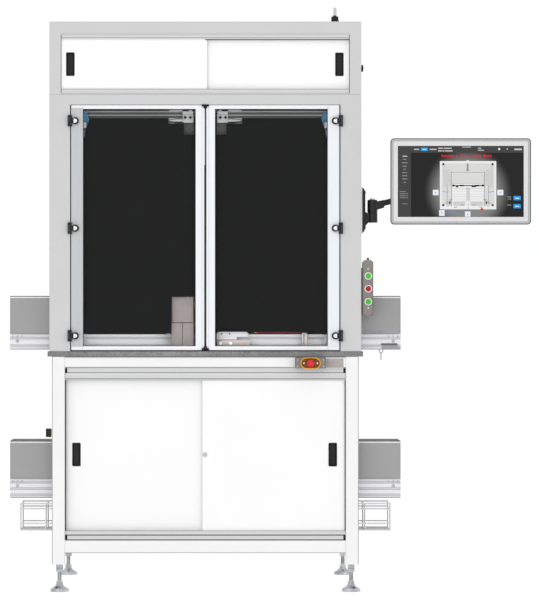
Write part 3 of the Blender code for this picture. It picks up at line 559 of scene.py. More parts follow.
def make_door_trim():
    inner, outer, low, high = WINDOW
    # the stile skins are painted light: a shaded copy of the profile on the left door's outer stile, a lit copy on
    # the right one and on the inner stiles
    for side, sign, outer_painted_light in (("left", -1, "stile_painted_shade"), ("right", 1, "stile_painted_lit")):
        body = f"guard_{side}"
        boxes(f"outer_stile_skin_{side}", [((sign * 0.4712, 0.0012, 0.944), (sign * 0.5155, 0.0022, 1.862))],
              outer_painted_light, body, 0.0)
        boxes(f"inner_stile_skin_{side}", [((sign * 0.0045, 0.0013, 0.944), (sign * 0.013, 0.0022, 1.862))],
              "stile_painted_lit", body, 0.0)
        t = 0.0022
        ring = [
            ((inner, 0.0125, low), (inner + t, 0.0136, high)), ((outer - t, 0.0125, low), (outer, 0.0136, high)),
            ((inner, 0.0125, low), (outer, 0.0136, low + t)), ((inner, 0.0125, high - t), (outer, 0.0136, high)),
        ]
        ring = [((sign * a[0], a[1], a[2]), (sign * b[0], b[1], b[2])) for a, b in ring]
        boxes(f"pane_gasket_{side}", ring, "seam", body, 0.0004)
        lines = []
        for x0, x1 in ((0.013, 0.0138), (0.4712, 0.4722), (0.514, 0.5155)):
            lines.append(((sign * x0, 0.0008, 0.9325), (sign * x1, 0.0022, 1.8715)))
        boxes(f"stile_lines_{side}", lines, "track", body, 0.0)
        joints = [((sign * 0.5155, 0.001, z), (sign * 0.4705, 0.0022, z + 0.0006)) for z in (0.9435, 1.862)]
        boxes(f"stile_joints_{side}", joints, "track", body, 0.0)
        boxes(f"meeting_seal_{side}", [((sign * 0.0006, 0.004, 0.936), (sign * 0.0042, 0.026, 1.643))],
              "rubber", body, 0.0004)
        boxes(f"meeting_trim_{side}", [((sign * 0.001, 0.004, 1.6432), (sign * 0.0042, 0.026, 1.86))],
              "track_light" if side == "left" else "rubber", body, 0.0004)
        catches = [((sign * 0.0006, -0.003, z), (sign * 0.014, 0.0018, z + 0.0085)) for z in (0.93, 1.868)]
        catches += [((sign * 0.0006, -0.003, z), (sign * 0.007, 0.0018, z + 0.007)) for z in (0.9375, 1.862)]
        boxes(f"roller_catch_{side}", catches, "rubber", body, 0.001)
        bm = bmesh.new()
        for z in HINGE_HEIGHTS:
            add_box(bm, (sign * 0.472, 0.02, z - 0.027), (sign * 0.4585, 0.033, z - 0.005))
            add_turned(bm, ((0.0042, 0.0), (0.0042, 0.003), (0.003, 0.004)),
                       (sign * 0.465, 0.033, z - 0.016), (0, 1, 0), 16)
        make(f"pane_clamps_{side}", bm, "controller", body, 0.001)


def make_hinges():
    """Black hinges: a round boss with a white cap on the door, and a knuckle on each side of the joint line."""
    for side, sign in SIDES:
        bm = bmesh.new()
        for z in HINGE_HEIGHTS:
            add_turned(bm, ((0.0138, 0.0), (0.0138, 0.0098), (0.013, 0.0106)), (sign * 0.5, 0.0022, z),
                       (0, -1, 0), 36)
            add_box(bm, (sign * 0.5185, -0.0097, z - 0.0104), (sign * 0.5065, -0.0023, z + 0.0104))
            add_turned(bm, ((0.0052, 0.0), (0.0052, 0.021)), (sign * 0.5185, -0.006, z - 0.0105), (0, 0, 1), 24)
        make(f"hinge_leaves_{side}", bm, "black_plastic", f"guard_{side}", 0.0004)
        bm = bmesh.new()
        for z in HINGE_HEIGHTS:
            add_turned(bm, ((0.0072, 0.0), (0.0072, 0.0012), (0.006, 0.0024)), (sign * 0.5, -0.0082, z),
                       (0, -1, 0), 32)
        make(f"hinge_caps_{side}", bm, "cap_white", f"guard_{side}")
        bm = bmesh.new()
        for z in HINGE_HEIGHTS:
            for low, high in ((-0.0217, -0.0107), (0.0107, 0.0217)):
                add_box(bm, (sign * 0.5244, -0.0113, z + low), (sign * 0.5132, -0.0007, z + high))
            add_box(bm, (sign * 0.5293, -0.0113, z - 0.0218), (sign * 0.5244, -0.0003, z + 0.0218))
        make(f"hinge_knuckles_{side}", bm, "black_plastic", "cell", 0.0004)
        boxes(f"door_gap_seal_{side}", [((sign * 0.5196, 0.012, 0.929), (sign * 0.5176, 0.03, 1.8745))],
              "seam", "cell", 0.0)
    boxes("door_gap_seal_top", [((-0.5194, 0.012, 1.8736), (0.5194, 0.03, 1.8749))], "seam", "cell", 0.0)
    boxes("door_sill", [((-0.5194, 0.004, 0.9264), (0.5194, 0.034, 0.9292))], "seam", "cell", 0.0)


def make_switches():
    """Safety switches behind the doors' meeting edge, with screw rings, mounting plate and plunger."""
    for side, sign in SIDES:
        bm = bmesh.new()
        add_box(bm, (sign * 0.0462, 0.035, 1.8068), (sign * 0.0873, 0.0362, 1.8512))
        add_prism(bm, flip([(0.0475, 1.85), (0.0545, 1.8575), (0.062, 1.8575), (0.065, 1.85)], sign),
                  1, 0.0355, 0.048)
        for x in (0.0575, 0.078):
            add_turned(bm, ((0.0088, 0.0), (0.0088, 0.0018), (0.0072, 0.0026), (0.006, 0.001)),
                       (sign * x, 0.0352, 1.8275), (0, -1, 0), 28)
        make(f"switch_face_{side}", bm, "track_light", "cell", 0.0006)
        boxes(f"switch_outline_{side}", [((sign * 0.0445, 0.0358, 1.805), (sign * 0.089, 0.0366, 1.853)),
              ((sign * 0.042, 0.0444, 1.76), (sign * 0.0835, 0.0447, 1.8066))], "seam", "cell", 0.0)
        bm = bmesh.new()
        for x in (0.0575, 0.078):
            add_turned(bm, ((0.0072, 0.0), (0.006, 0.0012)), (sign * x, 0.0336, 1.8275), (0, -1, 0), 4)
            add_box(bm, (sign * (x - 0.01), 0.0348, 1.8375), (sign * (x + 0.009), 0.0352, 1.8386))
        for x in (0.0505, 0.075):
            for z in (1.7705, 1.7955):
                add_turned(bm, ((0.0031, 0.0), (0.0031, 0.0008)), (sign * x, 0.0441, z), (0, -1, 0), 16)
        make(f"switch_holes_{side}", bm, "seam", "cell")
        bm = bmesh.new()
        add_turned(bm, ((0.0095, 0.0), (0.0095, 0.03), (0.007, 0.034), (0.007, 0.05), (0.0045, 0.0545)),
                   (sign * 0.0868, 0.0372, 1.8145), (sign, 0, 0), 28)
        for x in (0.094, 0.101, 0.108):
            add_turned(bm, ((0.0104, 0.0), (0.0104, 0.0022)), (sign * x, 0.0372, 1.8145), (sign, 0, 0), 28)
        make(f"switch_plunger_{side}", bm, "zinc", "cell")
        brace = flip([(0.519, 1.848), (0.456, 1.848), (0.447, 1.818), (0.453, 1.799), (0.46, 1.78),
                      (0.464, 1.748), (0.519, 1.748)], sign)
        bm = bmesh.new()
        add_prism(bm, brace, 1, 0.034, 0.04)
        make(f"corner_brace_{side}", bm, "blue", "cell", 0.0008)
        screws(f"brace_screws_{side}", [(sign * x, 0.034, z) for x, z in ((0.495, 1.82),
               (0.495, 1.775))], (0, -1, 0), "zinc", "cell", 0.0035)
        boxes(f"brace_foot_{side}", [((sign * 0.464, 0.028, 1.756), (sign * 0.48, 0.04, 1.777))],
              "line_mid", "cell", 0.001)
        boxes(f"switch_plate_{side}", [((sign * 0.0437, 0.0434, 1.7615), (sign * 0.0818, 0.0442, 1.8066))],
              "plate_grey", "cell", 0.0004)
    clips = [((x, 0.045, 1.817), (x + 0.013, 0.0496, 1.8228)) for x in (-0.43, -0.325, 0.285, 0.395)]
    boxes("beam_clips", clips, "controller", "cell", 0.0008)
    # painted shade: dark bands along the beam behind the glazing
    for n, (tone, low, high) in enumerate((("plate_grey", 1.824, 1.835), ("plate_grey", 1.8385, 1.848),
                                           ("line_dark", 1.852, 1.856))):
        boxes(f"beam_band_{n}", [((-0.519, 0.0494, low), (0.519, 0.05, high))], tone, "cell", 0.0)


def make_front_fixtures():
    """Sensor housing, fixture plates, gate strip and stop post that stand along the conveyor's front."""
    low, high = local_box("sensor_housing")
    x0, x1, split = low.x, high.x, 1.036
    housing = boxes("sensor_housing_shells", [
        ((x0, low.y, split + 0.0008), (x1, high.y, high.z)),
        ((x0 - 0.0015, low.y - 0.001, low.z), ((x0 + x1) / 2 - 0.0005, high.y, split - 0.0008)),
        (((x0 + x1) / 2 + 0.0005, low.y - 0.001, low.z), (x1 + 0.001, high.y, split - 0.0008)),
    ], "taupe", "cell", 0.0028, 3)
    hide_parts("sensor_housing")
    boxes("sensor_housing_core", [((x0 + 0.003, low.y + 0.003, low.z + 0.001), (x1 - 0.003, high.y - 0.002,
          high.z - 0.004))], "seam", "cell", 0.0)
    boxes("sensor_cover_line", [((x0 + 0.042, low.y - 0.0006, high.z - 0.016), (x1 - 0.002, low.y + 0.001,
          high.z - 0.0145)), ((x0 + 0.042, low.y - 0.0006, high.z - 0.016), (x0 + 0.0434, low.y + 0.001,
          high.z - 0.009))], "controller", "cell", 0.0)
    screws("sensor_housing_screws", [(x1 - 0.02, low.y, 1.133), (x1 - 0.006, low.y, 1.133),
           (x0 + 0.003, low.y, 0.937), (x1 - 0.004, low.y, 0.937)], (0, -1, 0), "cap_white", "cell", 0.0026, 0.0012)
    bm = bmesh.new()
    for n in range(4):
        x = x0 + 0.034 + 0.011 * n
        add_turned(bm, ((0.0042, 0.0), (0.0042, 0.0016), (0.0026, 0.0022)), (x, low.y - 0.0008, 0.9375 + 0.0012 *
                   (n % 2)), (0, -1, 0), 14)
    make("sensor_plugs", bm, "cap_white", "cell")
    wedge = bmesh.new()
    add_prism(wedge, [(-0.1515, 0.9925), (-0.1365, 0.9925), (-0.1365, 1.002), (-0.141, 1.002)], 1, 0.078, 0.09)
    make("housing_wedge", wedge, "cap_white", "cell", 0.0006)
    bm = bmesh.new()
    add_prism(bm, [(0.044, 0.9812), (0.166, 0.9812), (0.166, 0.9945), (0.159, 1.0012), (0.052, 1.0012),
                   (0.044, 0.9935)], 1, 0.072, 0.08)
    add_prism(bm, [(0.044, 0.97), (0.122, 0.97), (0.122, 0.9815), (0.044, 0.9815)], 1, 0.07, 0.08)
    make("fixture_plate", bm, "conveyor_profile", "cell", 0.0008)
    boxes("fixture_block", [((0.044, 0.046, 0.9265), (0.174, 0.08, 0.969)),
                            ((0.174, 0.062, 0.9265), (0.181, 0.08, 0.954))], "taupe", "cell", 0.002, 3)
    bm = bmesh.new()
    for x in (0.058, 0.097):
        add_turned(bm, ((0.0062, 0.0), (0.0062, 0.001), (0.005, 0.0016)), (x, 0.0461, 0.956), (0, -1, 0), 24)
    make("fixture_buttons", bm, "cap_white", "cell")
    screws("fixture_screws", [(0.063, 0.072, 0.993), (0.094, 0.072, 0.993)], (0, -1, 0), "seam", "cell",
           0.003, 0.0008)
    boxes("gate_strip", [((0.196, 0.074, 0.9962), (0.368, 0.079, 0.9998))], "red_strip", "cell", 0.0006)
    boxes("gate_strip_tip", [((0.19, 0.073, 0.995), (0.197, 0.08, 1.0004))], "yellow_tip", "cell", 0.0008)
    boxes("stop_post", [((0.372, 0.048, 0.9265), (0.393, 0.08, 0.998)), ((0.369, 0.055, 0.9265), (0.396, 0.08,
          0.946))], "taupe", "cell", 0.0018, 3)
    boxes("stop_post_slot", [((0.379, 0.0474, 0.952), (0.3815, 0.049, 0.992))], "seam", "cell", 0.0)


# ---------------------------------------------------------------- operator panel

def make_display():
    """Rounded silver display with a lit screen, and the pads and ears that hold it."""
    low, high = local_box("hmi_monitor")
    face = low.y
    back = -0.02
    cx, cz = (low.x + high.x) / 2, (low.z + high.z) / 2
    width, height = high.x - low.x, high.z - low.z
    screen_w, screen_h = 0.482, 0.272
    bm = bmesh.new()
    rings = [
        (rounded(screen_w, screen_h, 0.001, (cx, cz)), face + 0.0016),
        (rounded(screen_w + 0.0006, screen_h + 0.0006, 0.0012, (cx, cz)), face),
        (rounded(width - 0.006, height - 0.006, 0.0105, (cx, cz)), face),
        (rounded(width - 0.0018, height - 0.0018, 0.0125, (cx, cz)), face + 0.0009),
        (rounded(width, height, 0.0135, (cx, cz)), face + 0.003),
        (rounded(width, height, 0.0135, (cx, cz)), face + 0.02),
        (rounded(width - 0.004, height - 0.004, 0.012, (cx, cz)), face + 0.022),
        (rounded(width - 0.03, height - 0.03, 0.01, (cx, cz)), back - 0.004),
        (rounded(width - 0.036, height - 0.036, 0.008, (cx, cz)), back),
    ]
    loops = [[bm.verts.new(at(x, y, z)) for x, z in outline] for outline, y in rings]
    for first, second in zip(loops, loops[1:]):
        count = len(first)
        for n in range(count):
            m = (n + 1) % count
            bm.faces.new((first[n], first[m], second[m], second[n]))
    bm.faces.new(loops[0])
    bm.faces.new(loops[-1])
    case = make("display_case", bm, "monitor", "panel")
    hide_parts("hmi_monitor")
    # painted shade: a dark band over the case's rounded outer edge
    outline = rounded(width + 0.0002, height + 0.0002, 0.0136, (cx, cz))
    bm = bmesh.new()
    add_ring_band(bm, outline, rounded(width - 0.0056, height - 0.0056, 0.011, (cx, cz)), face - 0.0006,
                  face + 0.0062)
    make("display_edge_painted_shade", bm, "seam", "panel")
    bm = bmesh.new()
    add_ring_band(bm, rounded(width - 0.02, height - 0.02, 0.005, (cx, cz)),
                  rounded(width - 0.0226, height - 0.0226, 0.0044, (cx, cz)), face - 0.0008, face + 0.0004)
    make("display_bezel_groove", bm, "line_mid", "panel")
    # painted highlight: a lighter band round the screen
    bm = bmesh.new()
    add_ring_band(bm, rounded(width - 0.0218, height - 0.0218, 0.0044, (cx, cz)),
                  rounded(screen_w + 0.001, screen_h + 0.001, 0.001, (cx, cz)), face - 0.0007, face + 0.0004)
    make("display_bezel_band", bm, "bezel_painted_highlight", "panel")
    make_screen(cx - screen_w / 2, cz - screen_h / 2, face + 0.0014)
    ears = []
    for sign in (-1, 1):
        ears.append(((cx + sign * 0.0155, back - 0.001, cz - 0.013), (cx + sign * 0.0215, 0.0205, cz + 0.013)))
    plate = ((cx - 0.06, back - 0.001, cz - 0.06), (cx + 0.06, -0.0125, cz + 0.06))
    boxes("display_mount", [plate, *ears], "black_metal", "panel", 0.002, 3)
    bm = bmesh.new()
    for x in (-0.05, 0.05):
        for z in (-0.05, 0.05):
            add_screw(bm, (cx + x, -0.0125, cz + z), (0, 1, 0), 0.0042)
    add_turned(bm, ((0.0065, -0.0245), (0.0065, 0.0245)), (cx, 0.012, cz), (1, 0, 0), 6)
    make("display_mount_bolts", bm, "zinc", "panel")
    vents = [((cx + x, back - 0.001, cz + 0.085), (cx + x + 0.004, back + 0.0004, cz + 0.135))
             for x in [0.01 * n - 0.2 for n in range(41)]]
    boxes("display_vents", vents, "seam", "panel", 0.0)


def add_ring_band(bm, outer, inner, y0, y1):
    """A closed band between two outlines of (x, z) pairs, from y0 to y1."""
    loops = []
    for outline, y in ((outer, y0), (outer, y1), (inner, y1), (inner, y0)):
        loops.append([bm.verts.new(at(x, y, z)) for x, z in outline])
    for n, first in enumerate(loops):
        second = loops[(n + 1) % 4]
        for k in range(len(first)):
            m = (k + 1) % len(first)
            bm.faces.new((first[k], first[m], second[m], second[k]))


def make_screen(x0, z0, y):
    """The display's picture, drawn with small lit tiles and bars and no lettering."""
    white, pale, grey, dim = (0.85, 0.85, 0.85), (0.62, 0.62, 0.62), (0.3, 0.3, 0.3), (0.1, 0.1, 0.1)
    blue, red, yellow = (0.02, 0.35, 0.8), (0.75, 0.02, 0.02), (0.75, 0.7, 0.1)
    MATERIALS["screen_back"] = glow_backdrop("screen_back", at(x0 + 0.268, y, z0 + 0.1), 0.172,
                                             (0.24, 0.24, 0.24), (0.022, 0.022, 0.023))
    tones = {"white": white, "pale": pale, "grey": grey, "dim": dim, "blue": blue, "red": red, "yellow": yellow,
             "bar": (0.062, 0.062, 0.064), "ink": (0.01, 0.01, 0.01), "shell": (0.7, 0.71, 0.69)}
    for tone, color in tones.items():
        MATERIALS[f"screen_{tone}"] = glowing(f"screen_{tone}", color)

    def layer(name, tone, rects, lift):
        bm = bmesh.new()
        for a, b, c, d in rects:
            add_box(bm, (x0 + a / 1000, y - lift, z0 + b / 1000), (x0 + c / 1000, y - lift + 0.00016, z0 + d / 1000))
        make(f"screen_{name}", bm, f"screen_{tone}", "panel")

    def polygons(name, tone, shapes, lift):
        bm = bmesh.new()
        for shape in shapes:
            add_prism(bm, [(x0 + a / 1000, z0 + b / 1000) for a, b in shape], 1, y - lift, y - lift + 0.00016)
        make(f"screen_{name}", bm, f"screen_{tone}", "panel")

    def dots(name, tone, centres, radius, lift):
        bm = bmesh.new()
        for a, b in centres:
            add_turned(bm, ((radius / 1000, 0.0), (radius / 1000, 0.00016)),
                       (x0 + a / 1000, y - lift + 0.00016, z0 + b / 1000), (0, -1, 0), 20)
        make(f"screen_{name}", bm, f"screen_{tone}", "panel")

    def dashes(start, end, height, z, words):
        """A bar broken into word-like dashes; words are their relative lengths."""
        gap = 0.05 * (end - start)
        unit = (end - start - gap * (len(words) - 1)) / sum(words)
        at_x, found = start, []
        for word in words:
            found.append((at_x, z, at_x + unit * word, z + height))
            at_x += unit * word + gap
        return found

    layer("backdrop", "back", [(0, 0, 482, 272)], 0.0002)
    layer("bars", "bar", [(0, 246, 482, 272), (0, 0, 50, 246)], 0.0004)
    menu = [(18, 231), (19, 219), (15, 206), (18, 193), (21, 181), (16, 168), (16, 156), (16, 144), (21, 131)]
    layer("menu", "grey", [(a, z, 50 - a + 2, z + 3) for a, z in menu] +
          [(7, z, 30, z + 2.4) for z in (96, 88, 80, 72)] + [(33, z, 38, z + 3) for z in (88, 80, 72)] +
          [(16, 49, 36, 51)], 0.0006)
    layer("menu_lit", "pale", [(18, 230.5, 36, 234)], 0.0008)
    layer("top_words", "pale", dashes(62, 81, 4, 257, (1,)) + dashes(122, 148, 4, 257, (1,)) +
          dashes(154, 206, 4, 261, (2, 3)) + dashes(154, 210, 4, 251, (2, 1, 4)) +
          dashes(247, 280, 3, 266, (1, 1, 2, 1)) + dashes(307, 320, 3, 262, (1,)) +
          dashes(307, 330, 3, 254, (2, 1)) + dashes(446, 475, 6, 256, (1,)), 0.0006)
    dots("top_lamp", "white", [(388, 260)], 4.2, 0.0006)
    dots("top_lamp_small", "yellow", [(419, 260)], 2.4, 0.0006)
    layer("tabs", "blue", [(88, 253, 115, 265), (443, 64, 471, 80), (443, 33, 471, 49), (180, 13.5, 234, 15.5)],
          0.0006)
    layer("tab_marks", "white", [(94, 257, 109, 260), (449, 70, 465, 73), (449, 39, 465, 42)], 0.0008)
    layer("side_words", "grey", [(419, 75, 434, 78), (422, 67, 434, 70), (419, 44, 434, 47)], 0.0006)
    marks = []
    pen = 167.0
    for word in (6, 1, 5, 4, 4):
        for n in range(word):
            tall = 9.0 if n == 0 else 6.4
            marks.append((pen, 230.5, pen + 5.2, 230.5 + tall if word > 1 else 234.5))
            pen += 8.0
        pen += 8.6
    layer("headline", "red", marks, 0.0006)
    layer("cell_frame", "white", [(161, 29, 377, 214)], 0.0006)
    polygons("cell_walls", "shell", [[(170, 206), (368, 206), (326, 168), (212, 168)],
                                     [(168, 204), (205, 168), (205, 62), (168, 42)],
                                     [(370, 204), (331, 168), (331, 62), (370, 42)]], 0.0008)
    layer("cell_back", "white", [(205, 40, 331, 172)], 0.001)
    layer("cell_back_panel", "shell", [(208, 130, 330, 168)], 0.0012)
    layer("cell_lines", "ink", [(205, 170, 331, 171.4), (205, 128, 331, 129), (208, 118, 330, 122),
                                (222, 113, 232, 118), (282, 114, 300, 119)], 0.0014)
    struts = []
    for sign, a in ((1, 170), (-1, 368)):
        for b0, b1, c0, c1 in ((204, 170, 0, 35), (42, 62, 0, 35), (196, 172, 6, 37), (52, 66, 8, 37)):
            struts.append([(a + sign * c0, b0), (a + sign * c1, b1), (a + sign * c1, b1 - 1.4),
                           (a + sign * c0, b0 - 1.4)][::sign])
    polygons("cell_struts", "grey", struts, 0.0012)
    polygons("cell_shade", "pale", [[(174, 190), (203, 166), (203, 120), (174, 112)],
                                    [(364, 190), (333, 166), (333, 120), (364, 112)],
                                    [(186, 60), (204, 66), (204, 44), (186, 36)],
                                    [(352, 60), (333, 66), (333, 44), (352, 36)]], 0.001)
    layer("cell_posts", "grey", [(204, 40, 206.4, 172), (330, 40, 332.4, 172), (188, 48, 190, 120),
                                 (347, 48, 349, 120), (209, 118, 329, 119.2), (209, 108, 329, 109),
                                 (196, 66, 210, 68), (326, 66, 341, 68)], 0.0014)
    layer("cell_fittings", "ink", [(208, 116.5, 216, 124), (238, 117, 252, 123), (296, 117, 312, 123),
                                   (322, 116.5, 330, 124), (196, 50, 202, 58), (336, 50, 342, 58),
                                   (214, 36, 226, 38), (312, 36, 324, 38), (240, 45, 254, 46.5),
                                   (284, 45, 298, 46.5)], 0.0016)
    layer("cell_tables", "pale", [(212, 42, 258, 58), (278, 42, 326, 58), (262, 62, 276, 112)], 0.0012)
    layer("cell_marks", "pale", [(205, z, 331, z + 1.5) for z in (98, 86, 77, 68, 58, 49)], 0.0014)
    layer("cell_column", "grey", [(264, 180, 271, 210), (262, 176, 273, 180)], 0.001)
    dots("cell_corners", "ink", [(174, 202), (363, 202), (174, 45), (363, 45)], 4.6, 0.001)
    layer("cell_blue_marks", "blue", [(171, 96, 179, 98.5), (182, 94, 194, 96.5), (346, 94, 358, 96.5),
                                      (360, 96, 368, 98.5), (268, 44, 270.5, 50), (268, 31, 270.5, 38)], 0.0016)
    tiles = [(134, 83, 156, 104), (381, 83, 404, 104), (158, 4, 179, 26), (257, 1, 278, 21), (263, 205, 273, 217)]
    layer("tiles", "white", tiles, 0.0012)
    dots("tile_dots", "blue", [(145, 93), (392, 93), (168.5, 15), (267.5, 10)], 2.6, 0.0014)
    dots("alert_dot", "red", [(322, 29)], 5.4, 0.0016)


def make_panel_arm():
    """The swing arm's castings: a ribbed wall plate, round knuckles with caps and bolts."""
    cx, cy = 0.645, 0.06
    wall = boxes("arm_wall_plate", [
        ((0.6003, 0.0105, 1.38), (0.606, 0.1095, 1.558)), ((0.606, 0.014, 1.3865), (0.6125, 0.106, 1.5535)),
        ((0.6125, 0.022, 1.395), (0.6165, 0.098, 1.546)),
    ], "black_metal", "cell", 0.0018, 3)
    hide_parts("hmi_wall_bracket")
    # painted highlight: a white strip along the wall plate's front edge
    boxes("arm_wall_painted_highlight", [((0.6001, 0.0103, 1.3795), (0.604, 0.1097, 1.5585))], "cap_white", "cell", 0.0006)
    bm = bmesh.new()
    add_prism(bm, [(0.616, 1.408), (0.626, 1.419), (0.633, 1.426), (0.633, 1.456), (0.616, 1.464)],
              1, cy - 0.014, cy + 0.014)
    add_turned(bm, ((0.018, 0.0), (0.0195, 0.0015), (0.0195, 0.0365), (0.018, 0.0378)), (cx, cy, 1.4222),
               (0, 0, 1), 48)
    for z in (1.429, 1.453):
        add_turned(bm, ((0.0202, 0.0), (0.0202, 0.002)), (cx, cy, z), (0, 0, 1), 48)
    make("arm_lower_knuckle", bm, "black_metal", "cell", 0.0008)
    screws("arm_wall_screws", [(0.6165, y, z) for y in (0.032, 0.088) for z in (1.404, 1.537)], (1, 0, 0), "zinc",
           "cell", 0.005, 0.003)
    bm = bmesh.new()
    add_turned(bm, ((0.018, 0.0), (0.0195, 0.0015), (0.0195, 0.047), (0.015, 0.0507)), (cx, cy, 1.4603),
               (0, 0, 1), 48)
    profile = [(0.65, 1.476), (0.97, 1.56), (0.97, 1.581), (0.65, 1.499)]
    add_prism(bm, profile, 1, cy - 0.012, cy + 0.012)
    add_turned(bm, ((0.0175, 0.0), (0.019, 0.0015), (0.019, 0.0365), (0.0175, 0.038)), (0.979, cy, 1.552),
               (0, 0, 1), 48)
    add_prism(bm, [(0.656, 1.47), (0.69, 1.48), (0.69, 1.51), (0.656, 1.503)], 1, cy - 0.0155,
              cy + 0.0155)
    arm = make("arm_beam", bm, "black_metal", "panel_arm", 0.0014, 3)
    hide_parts("hmi_arm")
    bm = bmesh.new()
    add_turned(bm, ((0.009, 0.0), (0.009, 0.004), (0.007, 0.005)), (cx, cy, 1.511), (0, 0, 1), 6)
    make("arm_pivot_bolt", bm, "zinc", "panel_arm")


def make_panel_head():
    top = local_box("hmi_head")[1].z
    x, y = 0.979, 0.06
    bm = bmesh.new()
    add_turned(bm, ((0.0178, 0.0), (0.019, 0.0012), (0.019, 0.018), (0.016, 0.02)), (x, y, 1.5903),
               (0, 0, 1), 48)
    add_prism(bm, [(0.06, 1.608), (0.06, 1.592), (0.021, 1.592), (0.0205, 1.57), (0.0035, 1.57),
                   (0.0035, 1.596), (0.01, 1.608)], 0, x - 0.015, x + 0.015)
    head = make("head_casting", bm, "black_metal", "panel_head", 0.0014, 3)
    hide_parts("hmi_head")
    bm = bmesh.new()
    add_turned(bm, ((0.008, 0.0), (0.008, 0.0035), (0.0065, 0.0045)), (x, y, top - 0.0006), (0, 0, 1), 6)
    make("head_pivot_bolt", bm, "zinc", "panel_head")


# ---------------------------------------------------------------- push buttons and emergency stop

PENDANT_BUTTONS = (("reset", 1.117, "button_green"), ("stop", 1.167, "stop_red"), ("start", 1.216, "button_green"))


def make_pendant():
    x0, x1, z0, z1 = 0.605, 0.646, 1.063, 1.277
    bm = bmesh.new()
    outline = [(x0, z0 + 0.003), (x0 + 0.003, z0), (x1 - 0.003, z0), (x1, z0 + 0.003), (x1, z1 - 0.008),
               (x1 - 0.008, z1), (x0 + 0.008, z1), (x0, z1 - 0.008)]
    add_prism(bm, outline, 1, 0.0002, 0.058)
    add_box(bm, (0.6003, 0.014, z0 + 0.02), (x0 + 0.001, 0.048, z1 - 0.03))
    add_turned(bm, ((0.0052, 0.0), (0.0052, 0.009), (0.0036, 0.011)), (0.6265, 0.029, z1 - 0.001), (0, 0, 1), 24)
    case = make("pendant_case", bm, "case_grey", "cell", 0.0014, 3)
    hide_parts("pendant_box")
    boxes("pendant_lid_line", [((x0 - 0.0002, 0.011, z0 + 0.004), (x1 + 0.0002, 0.0118, z1 - 0.009))], "seam",
          "cell", 0.0)
    screws("pendant_screws", [(0.6265, 0.0004, z) for z in (1.093, 1.243)], (0, -1, 0), "cap_white", "cell",
           0.003, 0.0016)
    # painted shade: dark strips down the case's side edges and at its bottom corners
    edge_shade_strips = [((x, -0.0004, z0 + 0.004), (x + 0.003, 0.0008, z1 - 0.012)) for x in (x0 + 0.0002, x1 - 0.0032)]
    edge_shade_strips += [((x, -0.0004, z0 + 0.0002), (x + 0.01, 0.0008, z0 + 0.0036)) for x in (x0 + 0.002, x1 - 0.012)]
    boxes("pendant_painted_edge_shade", edge_shade_strips, "line_dark", "cell", 0.0002)
    bm = bmesh.new()
    for _, z, _ in PENDANT_BUTTONS:
        add_turned(bm, ((0.0148, 0.0), (0.0148, 0.003), (0.014, 0.0042), (0.0108, 0.0042), (0.0108, 0.0008)),
                   (0.627, 0.0002, z), (0, -1, 0), 40)
    make("button_bezels", bm, "cap_white", "cell")
    # painted shadow: a dark ring round each white bezel
    bm = bmesh.new()
    for _, z, _ in PENDANT_BUTTONS:
        add_turned(bm, ((0.0166, 0.0), (0.0166, 0.0009)), (0.627, 0.0002, z), (0, -1, 0), 40)
    make("button_painted_shadow_rings", bm, "line_dark", "cell")
    for name, z, tint in PENDANT_BUTTONS:
        cap = turned(f"{name}_cap", ((0.0104, -0.014), (0.0104, 0.0066), (0.0096, 0.008), (0.008, 0.0086),
                     (0.004, 0.008)), (0.627, 0.0, z), (0, -1, 0), tint, name, 40)
        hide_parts(f"{name}_button")


